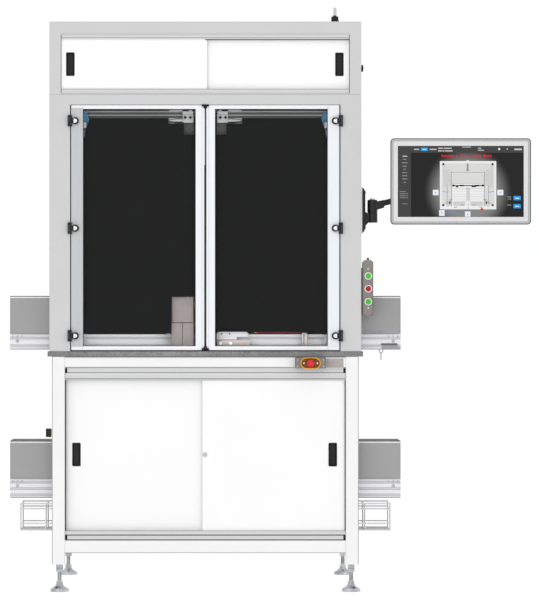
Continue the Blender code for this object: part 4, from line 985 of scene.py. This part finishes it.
def make_estop():
    x, z = 0.404, 0.881
    bm = bmesh.new()
    add_box(bm, (x - 0.059, -0.04, z - 0.02), (x + 0.059, -0.0003, z + 0.021))
    case = make("estop_case", bm, "case_grey", "cell", 0.003, 3)
    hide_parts("estop_box")
    loops = bmesh.new()
    steps = 20

    def stadium_ring(radius, y):
        ring = []
        for side, first in ((1, -0.5), (-1, 0.5)):
            for n in range(steps + 1):
                angle = math.pi * (first + n / steps)
                ring.append(loops.verts.new(at(x + side * 0.017 + radius * math.cos(angle), y,
                                               z + radius * math.sin(angle))))
        return ring

    def circle_ring(radius, y):
        ring = []
        count = 2 * (steps + 1)
        for n in range(count):
            angle = 2 * math.pi * (n - steps / 2 - 0.5) / count
            ring.append(loops.verts.new(at(x + radius * math.cos(angle), y, z + radius * math.sin(angle))))
        return ring

    rings = [
        circle_ring(0.009, -0.0403), stadium_ring(0.0212, -0.0403), stadium_ring(0.022, -0.0412),
        stadium_ring(0.022, -0.05), stadium_ring(0.0212, -0.0516), stadium_ring(0.0204, -0.052),
        stadium_ring(0.0192, -0.0516), stadium_ring(0.0187, -0.05), stadium_ring(0.018, -0.0438),
        circle_ring(0.009, -0.0436),
    ]
    rings.append(rings[0])
    for low, high in zip(rings, rings[1:]):
        for n in range(len(low)):
            m = (n + 1) % len(low)
            loops.faces.new((low[n], low[m], high[m], high[n]))
    guard = make("estop_shroud", loops, "estop_yellow", "cell")
    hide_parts("estop_guard")
    # the cup's floor is the guard's yellow darkened to brown: painted shade in the recess
    floor = bmesh.new()
    add_prism(floor, rounded(0.069, 0.035, 0.0174, (x, z), 10), 1, -0.0441, -0.0437)
    make("estop_cup_floor", floor, "cup_painted_shade", "cell")
    screws("estop_cup_screws", [(x - 0.026, -0.0441, z), (x + 0.026, -0.0441, z)], (0, -1, 0), "cap_white",
           "cell", 0.0036, 0.0014)
    boxes("estop_case_ends", [((x - 0.0592, -0.0402, z - 0.017), (x - 0.0565, -0.001, z + 0.018)),
                              ((x + 0.055, -0.0404, z - 0.019), (x + 0.0592, -0.001, z + 0.02))], "line_dark",
          "cell", 0.0004)
    cap = turned("estop_cap", ((0.007, 0.0), (0.007, 0.0165), (0.013, 0.018), (0.0142, 0.02),
                 (0.0142, 0.0245), (0.0132, 0.0278), (0.0105, 0.0296), (0.006, 0.03)), (x, -0.031, z),
                 (0, -1, 0), "button_red", "estop", 48)
    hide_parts("estop_button")
    bm = bmesh.new()
    for n in range(3):
        angle = math.radians(30 + 120 * n)
        for step in range(5):
            turn = angle + math.radians(9 * step)
            cx, cz = x + 0.0088 * math.cos(turn), z + 0.0088 * math.sin(turn)
            add_turned(bm, ((0.0007 + 0.00012 * (5 - step), 0.0), (0.0005, 0.0003)), (cx, -0.0606, cz),
                       (0, -1, 0), 10)
    make("estop_turn_marks", bm, "stop_red", "estop")
    screws("estop_screws", [(x - 0.05, -0.04, z + 0.012), (x + 0.05, -0.04, z + 0.012),
           (x - 0.05, -0.04, z - 0.012), (x + 0.05, -0.04, z - 0.012)], (0, -1, 0), "zinc", "cell", 0.0034)
    boxes("legend_plate", [((0.4655, -0.0016, 0.8628), (0.5315, -0.0004, 0.8982))], "taupe", "cell", 0.0004)
    boxes("legend_border", [((0.464, -0.001, 0.8612), (0.533, -0.0002, 0.8998))], "cap_white", "cell", 0.0002)


# ---------------------------------------------------------------- base details

def make_feet():
    """Levelling feet: a forged pad, a locknut, a threaded spindle with its rolled ridges, and a top nut."""
    for row, y in (("front", 0.035), ("rear", DEPTH - 0.035)):
        for side, sign in SIDES:
            spindle = [(0.0085, 0.043)]
            height = 0.0435
            while height < 0.0745:
                spindle += [(0.0085, height), (0.0078, height + 0.0005), (0.0085, height + 0.001)]
                height += 0.0012
            bm = bmesh.new()
            add_turned(bm, ((0.0345, 0.0), (0.0365, 0.0012), (0.0365, 0.0072), (0.0358, 0.0092), (0.033, 0.013),
                            (0.028, 0.016), (0.0215, 0.0192), (0.016, 0.024), (0.0128, 0.0305),
                            (0.0118, 0.0332)), (sign * 0.562, y, 0.0), (0, 0, 1), 56)
            add_turned(bm, ((0.0108, 0.0334), (0.0132, 0.034), (0.0132, 0.0404), (0.0108, 0.0412)),
                       (sign * 0.562, y, 0.0), (0, 0, 1), 6)
            add_turned(bm, [(0.0085, 0.04), *spindle, (0.0085, 0.0755)], (sign * 0.562, y, 0.0), (0, 0, 1), 32)
            add_turned(bm, ((0.0115, 0.076), (0.0136, 0.0766), (0.0136, 0.0898), (0.0115, 0.0906)),
                       (sign * 0.562, y, 0.0), (0, 0, 1), 6)
            add_turned(bm, ((0.0135, 0.0908), (0.0135, 0.1057)), (sign * 0.562, y, 0.0), (0, 0, 1), 40)
            foot = make(f"levelling_foot_{row}_{side}", bm, "steel", "cell")
            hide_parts(f"foot_{row}_{side}")


def make_tray():
    """The same basket in round wire, with bent uprights."""
    r = 0.003
    half, y0, y1 = 0.715, 0.1025, 0.3175
    z0, z1 = 0.2335, 0.3355
    bm = bmesh.new()
    for z in (z0, 0.2585, 0.3155, z1):
        for y in (y0, y1):
            add_pipe(bm, [(-half, y, z), (half, y, z)], r, 10)
    for y in (0.175, 0.245):
        add_pipe(bm, [(-half, y, z0), (half, y, z0)], r, 10)
    for x in (-0.715, -0.617, -0.31, 0.0, 0.31, 0.617, 0.715):
        bend = 0.008
        path = [(x, y0, z1), (x, y0, z0 + bend), (x, y0 + bend * 0.3, z0 + bend * 0.3), (x, y0 + bend, z0),
                (x, y1 - bend, z0), (x, y1 - bend * 0.3, z0 + bend * 0.3), (x, y1, z0 + bend), (x, y1, z1)]
        add_pipe(bm, path, r, 10)
    tray = make("wire_tray", bm, "wire", "cell")
    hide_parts("cable_tray")


def make_conveyor_details():
    """End caps, roller collars and bolt heads in the slots of both conveyors, and the under-cover of the upper one.
    """
    for name, z0, z1, axle in (("upper", 0.932, 0.991, 0.965), ("lower", 0.358, 0.431, 0.405)):
        dark = bmesh.new()
        slots = 2 if name == "upper" else 3
        pitch = (z1 - z0) / slots
        for n in range(slots):
            middle = z0 + pitch * (n + 0.5)
            add_box(dark, (-0.7545, 0.092, middle - 0.0032), (0.7545, 0.0962, middle + 0.0032))
            add_box(dark, (-0.7545, 0.3238, middle - 0.0032), (0.7545, 0.328, middle + 0.0032))
        make(f"conveyor_{name}_slots", dark, "track_light", "cell")
        lines = []
        for n in range(slots):
            middle = z0 + pitch * (n + 0.5)
            for edge in (middle - 0.0062, middle + 0.0054):
                lines.append(((-0.7548, 0.0897, edge), (0.7548, 0.0903, edge + 0.0007)))
        boxes(f"conveyor_{name}_lines", lines, "track", "cell", 0.0)
        boxes(f"conveyor_{name}_foot", [((-0.7548, 0.0896, z0), (0.7548, 0.0903, z0 + 0.0038))], "line_mid", "cell",
              0.0)
        bolts = bmesh.new()
        for sign in (-1, 1):
            for offset in (0.0, -0.018, 0.018):
                add_screw(bolts, (sign * 0.727 + offset, 0.0899, z1 - 0.008), (0, -1, 0), 0.0032, 0.0016)
            add_screw(bolts, (sign * 0.727, 0.0901, axle), (0, -1, 0), 0.0044, 0.0018)
            add_turned(bolts, ((0.0098, 0.0), (0.0098, 0.0025), (0.0078, 0.0035)), (sign * 0.727, 0.3299, axle),
                       (0, 1, 0), 32)
        make(f"conveyor_{name}_bearings", bolts, "zinc", "cell")
        caps = []
        for sign in (-1, 1):
            for y0 in (0.0905, 0.3005):
                caps.append(((sign * 0.7546, y0, z0 + 0.001), (sign * 0.7551, y0 + 0.029, z1 - 0.001)))
        boxes(f"conveyor_{name}_caps", caps, "controller", "cell", 0.0004)
    boxes("drive_cover_lid", [((0.68, 0.087, 0.95), (0.743, 0.2, 0.956))], "plate_grey", "cell", 0.001)
    boxes("drive_cover", [((0.682, 0.088, 0.9315), (0.755, 0.2, 0.942)),
                          ((0.683, 0.09, 0.942), (0.744, 0.2, 0.95))], "line_mid", "cell", 0.001)
    boxes("under_rail_clips", [((x0, 0.092, 0.94), (x1, 0.11, 0.944)) for x0, x1 in ((0.602, 0.61),
          (0.618, 0.652), (0.662, 0.676))], "line_dark", "cell", 0.0006)
    bm = bmesh.new()
    ring = []
    for n in range(33):
        angle = 2 * math.pi * n / 32
        ring.append((0.68 + 0.007 * math.cos(angle), 0.1, 0.927 + 0.007 * math.sin(angle)))
    add_pipe(bm, ring, 0.0016, 10)
    add_turned(bm, ((0.0026, 0.0), (0.0026, 0.025)), (0.68, 0.1, 0.895), (0, 0, 1), 20)
    add_turned(bm, ((0.004, 0.0), (0.004, 0.003)), (0.68, 0.1, 0.893), (0, 0, 1), 20)
    make("drive_cover_pin", bm, "zinc", "cell")
    boxes("guide_rail", [((0.615, 0.084, 0.9975), (0.685, 0.0856, 1.001)),
                         ((0.615, 0.0836, 1.001), (0.685, 0.085, 1.003))], "line_mid", "cell", 0.0003)


def make_hoods():
    """Folded edges on the conveyor tunnels: a white strip under the top as painted highlight, a dark lip along the
    top and an outline as painted shade, and rivets.
    """
    for name, x0, x1, z in (("left", -0.755, -0.6003, 0.992), ("right", 0.6003, 0.755, 0.992),
                            ("low_left", -0.755, -0.5905, 0.432), ("low_right", 0.5905, 0.755, 0.432)):
        top = z + 0.147
        outer, inner = (x0, x1) if x0 < 0 else (x1, x0)
        inward = 1 if outer < 0 else -1
        # painted highlight: a white strip under the top edge
        boxes(f"hood_{name}_fold", [((x0, 0.0849, top - 0.0075), (x1, 0.0856, top - 0.003)),
                                    ((x0, 0.3344, top - 0.0075), (x1, 0.3351, top - 0.003))], "cap_white",
              "cell", 0.0)
        # painted shade: the lip in dark grey
        boxes(f"hood_{name}_lip", [((x0, 0.0846, top - 0.0028), (x1, 0.3354, top + 0.0005))], "plate_grey", "cell",
              0.0004)
        # painted shade: a dark outline along the outer and lower edges
        edges = [((outer, 0.0848, z + 0.001), (outer + inward * 0.0016, 0.0856, top - 0.0075)),
                 ((x0, 0.0848, z + 0.0005), (x1, 0.0856, z + 0.003))]
        boxes(f"hood_{name}_edges", edges, "line_mid", "cell", 0.0)
        screws(f"hood_{name}_rivets", [(outer + inward * 0.012, 0.3343, z + 0.02),
               (outer + inward * 0.012, 0.3343, top - 0.022), (inner - inward * 0.012, 0.3343, z + 0.072)],
               (0, 1, 0), "zinc", "cell", 0.0028, 0.0014)


def make_main_switch():
    """Rotary switch: a yellow-green base ring, a black rotor with a grip bar, and its pointer."""
    x, y, z = -0.5903, 0.025, 0.612
    turned("main_switch_ring", ((0.015, 0.0), (0.015, 0.0025), (0.014, 0.0036), (0.0125, 0.0036)),
           (x, y, z), (-1, 0, 0), "switch_yellow", "cell", 48)
    bm = bmesh.new()
    profile = ((0.012, 0.0), (0.012, 0.004), (0.0175, 0.0046), (0.0175, 0.012), (0.015, 0.015))
    add_turned(bm, profile, (x, y, z), (-1, 0, 0), 48)
    add_box(bm, (x - 0.0145, y - 0.0055, z - 0.0165), (x - 0.024, y + 0.0055, z + 0.0165))
    knob = make("main_switch_rotor", bm, "black_plastic", "main_switch", 0.0016, 3)
    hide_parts("main_switch_knob")
    boxes("main_switch_pointer", [((x - 0.0238, y - 0.001, z + 0.004), (x - 0.0243, y + 0.001, z + 0.0155))],
          "cap_white", "main_switch", 0.0)


def add_track_lines(name, bands, ends, tick):
    """Painted highlight and shade bands along a track's front, for its lit lips and shaded grooves, with a black
    plug at each end.
    """
    for n, (tone, low, high) in enumerate(bands):
        boxes(f"{name}_band_{n}", [((-ends, 0.0054, low), (ends, 0.0062, high))], tone, "cell", 0.0)
    ticks = []
    for sign in (-1, 1):
        ticks.append(((sign * 0.5397, 0.0046, tick[0]), (sign * 0.5312, 0.0058, tick[1])))
    boxes(f"{name}_plugs", ticks, "rubber", "cell", 0.0003)


def make_base_details():
    """Painted highlight and shade bands and plugs of the tracks, seals beside the doors, and painted shade lines at
    the edges of legs, beams and table.
    """
    # painted highlight and shade bands along the tracks' fronts
    add_track_lines("top_track", (
        ("line_mid", 0.8615, 0.865), ("track_light", 0.845, 0.8615), ("line_dark", 0.8415, 0.845),
        ("cap_white", 0.8385, 0.8415), ("track_light", 0.823, 0.8385), ("line_mid", 0.8185, 0.823),
    ), 0.539, (0.843, 0.8612))
    add_track_lines("bottom_track", (
        ("line_mid", 0.234, 0.236), ("track_light", 0.2215, 0.234), ("line_dark", 0.2165, 0.2215),
        ("track_light", 0.203, 0.2165), ("line_dark", 0.199, 0.203),
    ), 0.539, (0.2, 0.219))
    boxes("cabinet_door_seals", [((sign * 0.5396, 0.01, 0.236), (sign * 0.5364, 0.03, 0.8425))
                                 for sign in (-1, 1)], "seam", "cell", 0.0)
    # painted shade lines along the legs' edges, under the table plate and along the bottom beam
    edges = []
    for sign in (-1, 1):
        edges.append(((sign * 0.5402, -0.0004, 0.1065), (sign * 0.5409, 0.0006, 0.9055)))
        edges.append(((sign * 0.5875, -0.0004, 0.1065), (sign * 0.59, 0.0006, 0.9055)))
    boxes("leg_edges", edges, "line_mid", "cell", 0.0)
    boxes("table_underline", [((-0.54, -0.0026, 0.903), (0.54, 0.0005, 0.9068))], "line_dark", "cell", 0.0)
    boxes("low_beam_line", [((-0.54, -0.0004, 0.15), (0.54, 0.0006, 0.1525))], "line_mid", "cell", 0.0)
    lines = []
    for x in (-0.531, 0.0172):
        lines.append(((x, 0.0237, 0.237), (x + 0.0005, 0.0241, 0.814)))
    boxes("cabinet_left_folds", lines, "track_light", "cabinet_left", 0.0)
    lines = []
    for x in (-0.0118, 0.53):
        lines.append(((x, 0.0117, 0.237), (x + 0.0006, 0.0121, 0.814)))
    boxes("cabinet_right_folds", lines, "track", "cabinet_right", 0.0)
    turned("lock_rosette", ((0.0092, 0.0), (0.0092, 0.0008), (0.008, 0.0012)), (-0.001, 0.0118, 0.528),
           (0, -1, 0), "zinc", "cabinet_right", 40)


def make_enclosure_details():
    """Post seams, the joint under the header, screws along the side panels, and the rear doors' hardware."""
    seams = []
    for sign in (-1, 1):
        seams.append(((sign * 0.5202, -0.0004, 0.927), (sign * 0.5212, 0.0006, 1.913)))
        seams.append(((sign * 0.598, -0.0004, 0.927), (sign * 0.5986, 0.0006, 1.913)))
    boxes("post_folds", seams, "track", "cell", 0.0)
    boxes("header_joint", [((-0.5995, -0.0004, 1.913), (0.5995, 0.0006, 1.9142))], "track", "cell", 0.0)
    screw_places = []
    for sign in (-1, 1):
        for y in (0.098, 0.4, 0.7, 1.002):
            for z in (1.175, 1.5, 1.86):
                screw_places.append((sign, (sign * 0.5596, y, z)))
    for sign in (-1, 1):
        screws(f"side_panel_screws_{'right' if sign > 0 else 'left'}", [p for s, p in screw_places if s == sign],
               (sign, 0, 0), "zinc", "cell", 0.005)
    back = 1.106
    panel = [((-0.56, back - 0.0005, 0.2), (-0.004, back + 0.0012, 0.88)),
             ((0.004, back - 0.0005, 0.2), (0.56, back + 0.0012, 0.88)),
             ((-0.56, back - 0.0005, 0.96), (-0.004, back + 0.0012, 1.88)),
             ((0.004, back - 0.0005, 0.96), (0.56, back + 0.0012, 1.88))]
    boxes("rear_doors", panel, "frame_grey", "cell", 0.0008)
    vents = []
    for n in range(9):
        for x in (-0.4, 0.21):
            vents.append(((x, back + 0.001, 0.3 + 0.018 * n), (x + 0.19, back + 0.0018, 0.308 + 0.018 * n)))
    boxes("rear_vents", vents, "seam", "cell", 0.0)
    bm = bmesh.new()
    for x in (-0.03, 0.03):
        for z in (0.54, 1.42):
            add_turned(bm, ((0.014, 0.0), (0.014, 0.001), (0.0115, 0.0019), (0.004, 0.0019)),
                       (x, back + 0.001, z), (0, 1, 0), 32)
    for x in (-0.552, 0.552):
        for z in (0.26, 0.82, 1.02, 1.82):
            add_turned(bm, ((0.004, -0.03), (0.004, 0.03)), (x, back - 0.0022, z), (0, 0, 1), 16)
    make("rear_latches", bm, "zinc", "cell")
    side_sheet = []
    for sign in (-1, 1):
        side_sheet.append(((sign * 0.5998, 0.06, 1.93), (sign * 0.6008, 1.04, 2.17)))
    boxes("header_side_sheets", side_sheet, "frame_grey", "cell", 0.0008)
    places = [(sign, (sign * 0.6008, y, z)) for sign in (-1, 1) for y in (0.075, 0.55, 1.025)
              for z in (1.945, 2.155)]
    for sign in (-1, 1):
        screws(f"header_screws_{'right' if sign > 0 else 'left'}", [p for s, p in places if s == sign],
               (sign, 0, 0), "zinc", "cell", 0.005, 0.0018)
    boxes("roof_tray", [((-0.56, 0.1, 2.1948), (0.56, 1.06, 2.1958))], "frame_grey", "cell", 0.0005)
    screws("roof_screws", [(x, y, 2.1957) for x in (-0.545, 0.0, 0.545) for y in (0.115, 0.58, 1.045)],
           (0, 0, 1), "zinc", "cell", 0.0055)
    boxes("top_edge_line", [((-0.5998, -0.0004, 2.1895), (0.5998, 0.0006, 2.1901))], "track", "cell", 0.0)
    latch = bmesh.new()
    add_turned(latch, ((0.014, 0.0), (0.014, 0.003), (0.0128, 0.0062), (0.009, 0.0084), (0.004, 0.009)),
               (0.5997, 0.014, 2.015), (1, 0, 0), 40)
    make("side_latch", latch, "rubber", "cell")


def make_header_doors():
    for node in ("header_door_left", "header_door_right"):
        frame["nodes"][node].data.materials[0] = MATERIALS["header_white"]
    # painted highlight and shade bands along the header's tracks
    for n, (tone, low, high) in enumerate((
        ("line_dark", 2.148, 2.1502), ("track_light", 2.1345, 2.148), ("line_mid", 2.1318, 2.1345),
        ("track_light", 2.128, 2.1318), ("line_mid", 1.9335, 1.936), ("track_light", 1.9175, 1.9335),
        ("line_dark", 1.9146, 1.9175),
    )):
        boxes(f"header_track_band_{n}", [((-0.5556, 0.0054, low), (0.5556, 0.0062, high))], tone, "cell", 0.0)
    boxes("header_lane_shadow", [((0.0, 0.012, 2.1245), (0.5556, 0.018, 2.1282))], "line_dark", "cell", 0.0)
    ends = []
    for sign in (-1, 1):
        ends.append(((sign * 0.556, 0.0046, 1.9146), (sign * 0.5535, 0.0056, 1.936)))
        ends.append(((sign * 0.556, 0.0046, 2.128), (sign * 0.5535, 0.0056, 2.1502)))
    boxes("header_track_ends", ends, "line_dark", "cell", 0.0)
    boxes("header_left_edge", [((0.0066, 0.0114, 1.937), (0.0078, 0.016, 2.127))], "controller",
          "header_left", 0.0)


def make_pulls():
    """Recessed pulls with a rounded rim and a slanting floor, one at the outer edge of each sliding door."""
    specs = (
        ("cabinet_left", "cabinet_pull_left", 0.024), ("cabinet_right", "cabinet_pull_right", 0.012),
        ("header_left", "header_pull_left", 0.012), ("header_right", "header_pull_right", 0.024),
    )
    for body, node, face in specs:
        lip = 0.0014 if face < 0.02 else 0.0002
        low, high = local_box(node)
        cx, cz = (low.x + high.x) / 2, (low.z + high.z) / 2
        width, height = high.x - low.x, high.z - low.z
        bm = bmesh.new()
        rings = [
            (rounded(width - 0.0046, height - 0.0046, 0.003, (cx, cz)), face + 0.0095),
            (rounded(width - 0.0046, height - 0.0046, 0.003, (cx, cz)), face - 0.2 * lip),
            (rounded(width, height, 0.0045, (cx, cz)), face - 0.2 * lip),
            (rounded(width, height, 0.0045, (cx, cz)), face - 0.6 * lip),
            (rounded(width - 0.0014, height - 0.0014, 0.004, (cx, cz)), face - lip),
            (rounded(width - 0.006, height - 0.006, 0.0026, (cx, cz)), face - 0.85 * lip),
            (rounded(width - 0.009, height - 0.009, 0.0022, (cx, cz)), face + 0.004),
            (rounded(width - 0.013, height - 0.012, 0.002, (cx, cz)), face + 0.0078),
        ]
        loops = [[bm.verts.new(at(x, y, z)) for x, z in outline] for outline, y in rings]
        for first, second in zip(loops, loops[1:]):
            for n in range(len(first)):
                m = (n + 1) % len(first)
                bm.faces.new((first[n], first[m], second[m], second[n]))
        bm.faces.new(loops[0])
        bm.faces.new(loops[-1])
        pull = make(f"{body}_pull_cup", bm, "black_plastic", body)
        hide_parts(node)


def make_lamp():
    x, y, z = 0.499, 0.022, 2.1953
    bm = bmesh.new()
    add_turned(bm, ((0.015, 0.0), (0.015, 0.004), (0.0138, 0.005), (0.0138, 0.018), (0.012, 0.02),
                    (0.0065, 0.0215), (0.0062, 0.024)), (x, y, z), (0, 0, 1), 40)
    base = make("lamp_base", bm, "rubber", "cell")
    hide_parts("signal_lamp")
    turned("lamp_lens", ((0.006, 0.0225), (0.0064, 0.026), (0.0064, 0.046), (0.0056, 0.052), (0.003, 0.055)),
           (x, y, z), (0, 0, 1), "lens", "cell", 32)


# ---------------------------------------------------------------- inside the enclosure

def make_robot():
    """Covers, caps, joint rings and gripper of the SCARA arm."""
    base_x, base_y = 0.0, 0.68
    elbow = (0.1434, 0.4752)
    tip = (-0.0173, 0.2837)
    bm = bmesh.new()
    add_turned(bm, ((0.0805, 0.0), (0.0825, 0.002), (0.0825, 0.006), (0.0805, 0.008)), (base_x, base_y, 1.13),
               (0, 0, 1), 64)
    make("base_ring", bm, "controller", "cell")
    boxes("base_cover", [((-0.056, 0.618, 0.97), (0.056, 0.6205, 1.09)),
                         ((-0.056, 0.7695, 0.97), (0.056, 0.7725, 1.11))], "robot_white", "cell", 0.0012, 3)
    screws("base_bolts", [(sx * 0.085, 0.69 + sy * 0.085, 0.9443) for sx in (-1, 1) for sy in (-1, 1)], (0, 0, 1),
           "zinc", "cell", 0.008, 0.008)
    boxes("base_sockets", [((-0.045, 0.772, 1.0), (-0.005, 0.785, 1.04)),
                           ((0.005, 0.772, 1.0), (0.045, 0.785, 1.04))], "rubber", "cell", 0.0015)
    bm = bmesh.new()
    add_turned(bm, ((0.052, 0.0), (0.052, 0.0018), (0.048, 0.0028)), (base_x, base_y, 1.2895), (0, 0, 1), 56)
    make("shoulder_cap", bm, "controller", "inner_arm")
    turned("elbow_ring", ((0.0515, 0.0), (0.0515, 0.0025)), (*elbow, 1.2903), (0, 0, 1), "rubber", "outer_arm", 56)
    along = Vector((tip[0] - elbow[0], tip[1] - elbow[1], 0.0)).normalized()
    side = Vector((-along.y, along.x, 0.0))

    def on_outer(distance, across, z):
        point = Vector((elbow[0], elbow[1], z)) + along * distance + side * across
        return tuple(point)

    bm = bmesh.new()
    add_turned(bm, ((0.03, 0.0), (0.03, 0.002), (0.028, 0.0035)), (*elbow, 1.4598), (0, 0, 1), 48)
    add_turned(bm, ((0.017, 0.0), (0.017, 0.016), (0.014, 0.02)), on_outer(0.06, 0.0, 1.4598), (0, 0, 1), 32)
    make("cover_caps", bm, "robot_white", "outer_arm")
    screws("cover_screws", [on_outer(d, a, 1.46) for d, a in ((0.015, 0.038), (0.015, -0.038), (0.11, 0.03),
           (0.11, -0.03))], (0, 0, 1), "zinc", "outer_arm", 0.004)
    screws("outer_arm_bolts", [on_outer(d, a, 1.4) for d, a in ((0.205, 0.036), (0.205, -0.036),
           (0.265, 0.026), (0.265, -0.026))], (0, 0, 1), "zinc", "outer_arm", 0.0036)
    turned("nut_ring", ((0.028, 0.0), (0.028, 0.006), (0.018, 0.008)), (*tip, 1.3998), (0, 0, 1), "controller",
           "outer_arm", 40)
    bm = bmesh.new()
    add_turned(bm, ((0.0104, 0.0), (0.0104, 0.001), (0.0104, 0.003)), (*tip, 1.21), (0, 0, 1), 32)
    add_turned(bm, ((0.015, 0.0), (0.0165, 0.001), (0.0165, 0.011), (0.015, 0.012)), (*tip, 1.212), (0, 0, 1),
               40)
    make("quill_collar", bm, "zinc", "quill")
    turned("tool_flange", ((0.024, 0.0), (0.024, 0.006), (0.0225, 0.007)), (*tip, 1.1985), (0, 0, 1), "zinc",
           "tool", 48)
    jaws = []
    for sign in (-1, 1):
        jaws.append(((tip[0] + sign * 0.0135, tip[1] - 0.0075, 1.1605), (tip[0] + sign * 0.013, tip[1] + 0.0075,
                     1.175)))
    boxes("gripper_pads", jaws, "rubber", "tool", 0.0)


def make_controller():
    """Front of the robot controller: a bezel, vent slots, handles, sockets and a power switch."""
    low, high = local_box("robot_controller")
    face = low.y
    boxes("controller_front", [((low.x + 0.006, face - 0.003, low.z + 0.006), (high.x - 0.006, face + 0.001,
          high.z - 0.006))], "rubber", "cell", 0.0012, 2)
    vents = []
    for row in range(12):
        for column in range(2):
            x = low.x + 0.03 + column * 0.1
            vents.append(((x, face - 0.0036, low.z + 0.04 + 0.019 * row), (x + 0.085, face - 0.0028,
                          low.z + 0.046 + 0.019 * row)))
    boxes("controller_vents", vents, "controller", "cell", 0.0)
    bm = bmesh.new()
    for x in (low.x + 0.012, high.x - 0.012):
        add_pipe(bm, [(x, face - 0.002, low.z + 0.06), (x, face - 0.03, low.z + 0.06),
                      (x, face - 0.03, high.z - 0.06), (x, face - 0.002, high.z - 0.06)], 0.004, 14)
    for n in range(4):
        add_turned(bm, ((0.012, 0.0), (0.012, 0.01), (0.01, 0.012)), (high.x - 0.15 + 0.034 * n,
                   face - 0.003, high.z - 0.06), (0, -1, 0), 28)
    make("controller_handles", bm, "zinc", "cell")
    boxes("controller_switch", [((high.x - 0.07, face - 0.008, low.z + 0.05), (high.x - 0.04, face - 0.002,
          low.z + 0.08))], "button_green", "cell", 0.002, 2)


make_camera()
make_light()
make_floor()
dress_frame()
make_window_shade_sheets()
make_door_trim()
make_hinges()
make_switches()
make_front_fixtures()
make_display()
make_panel_arm()
make_panel_head()
make_pendant()
make_estop()
make_feet()
make_tray()
make_conveyor_details()
make_hoods()
make_main_switch()
make_base_details()
make_enclosure_details()
make_header_doors()
make_pulls()
make_lamp()
make_robot()
make_controller()
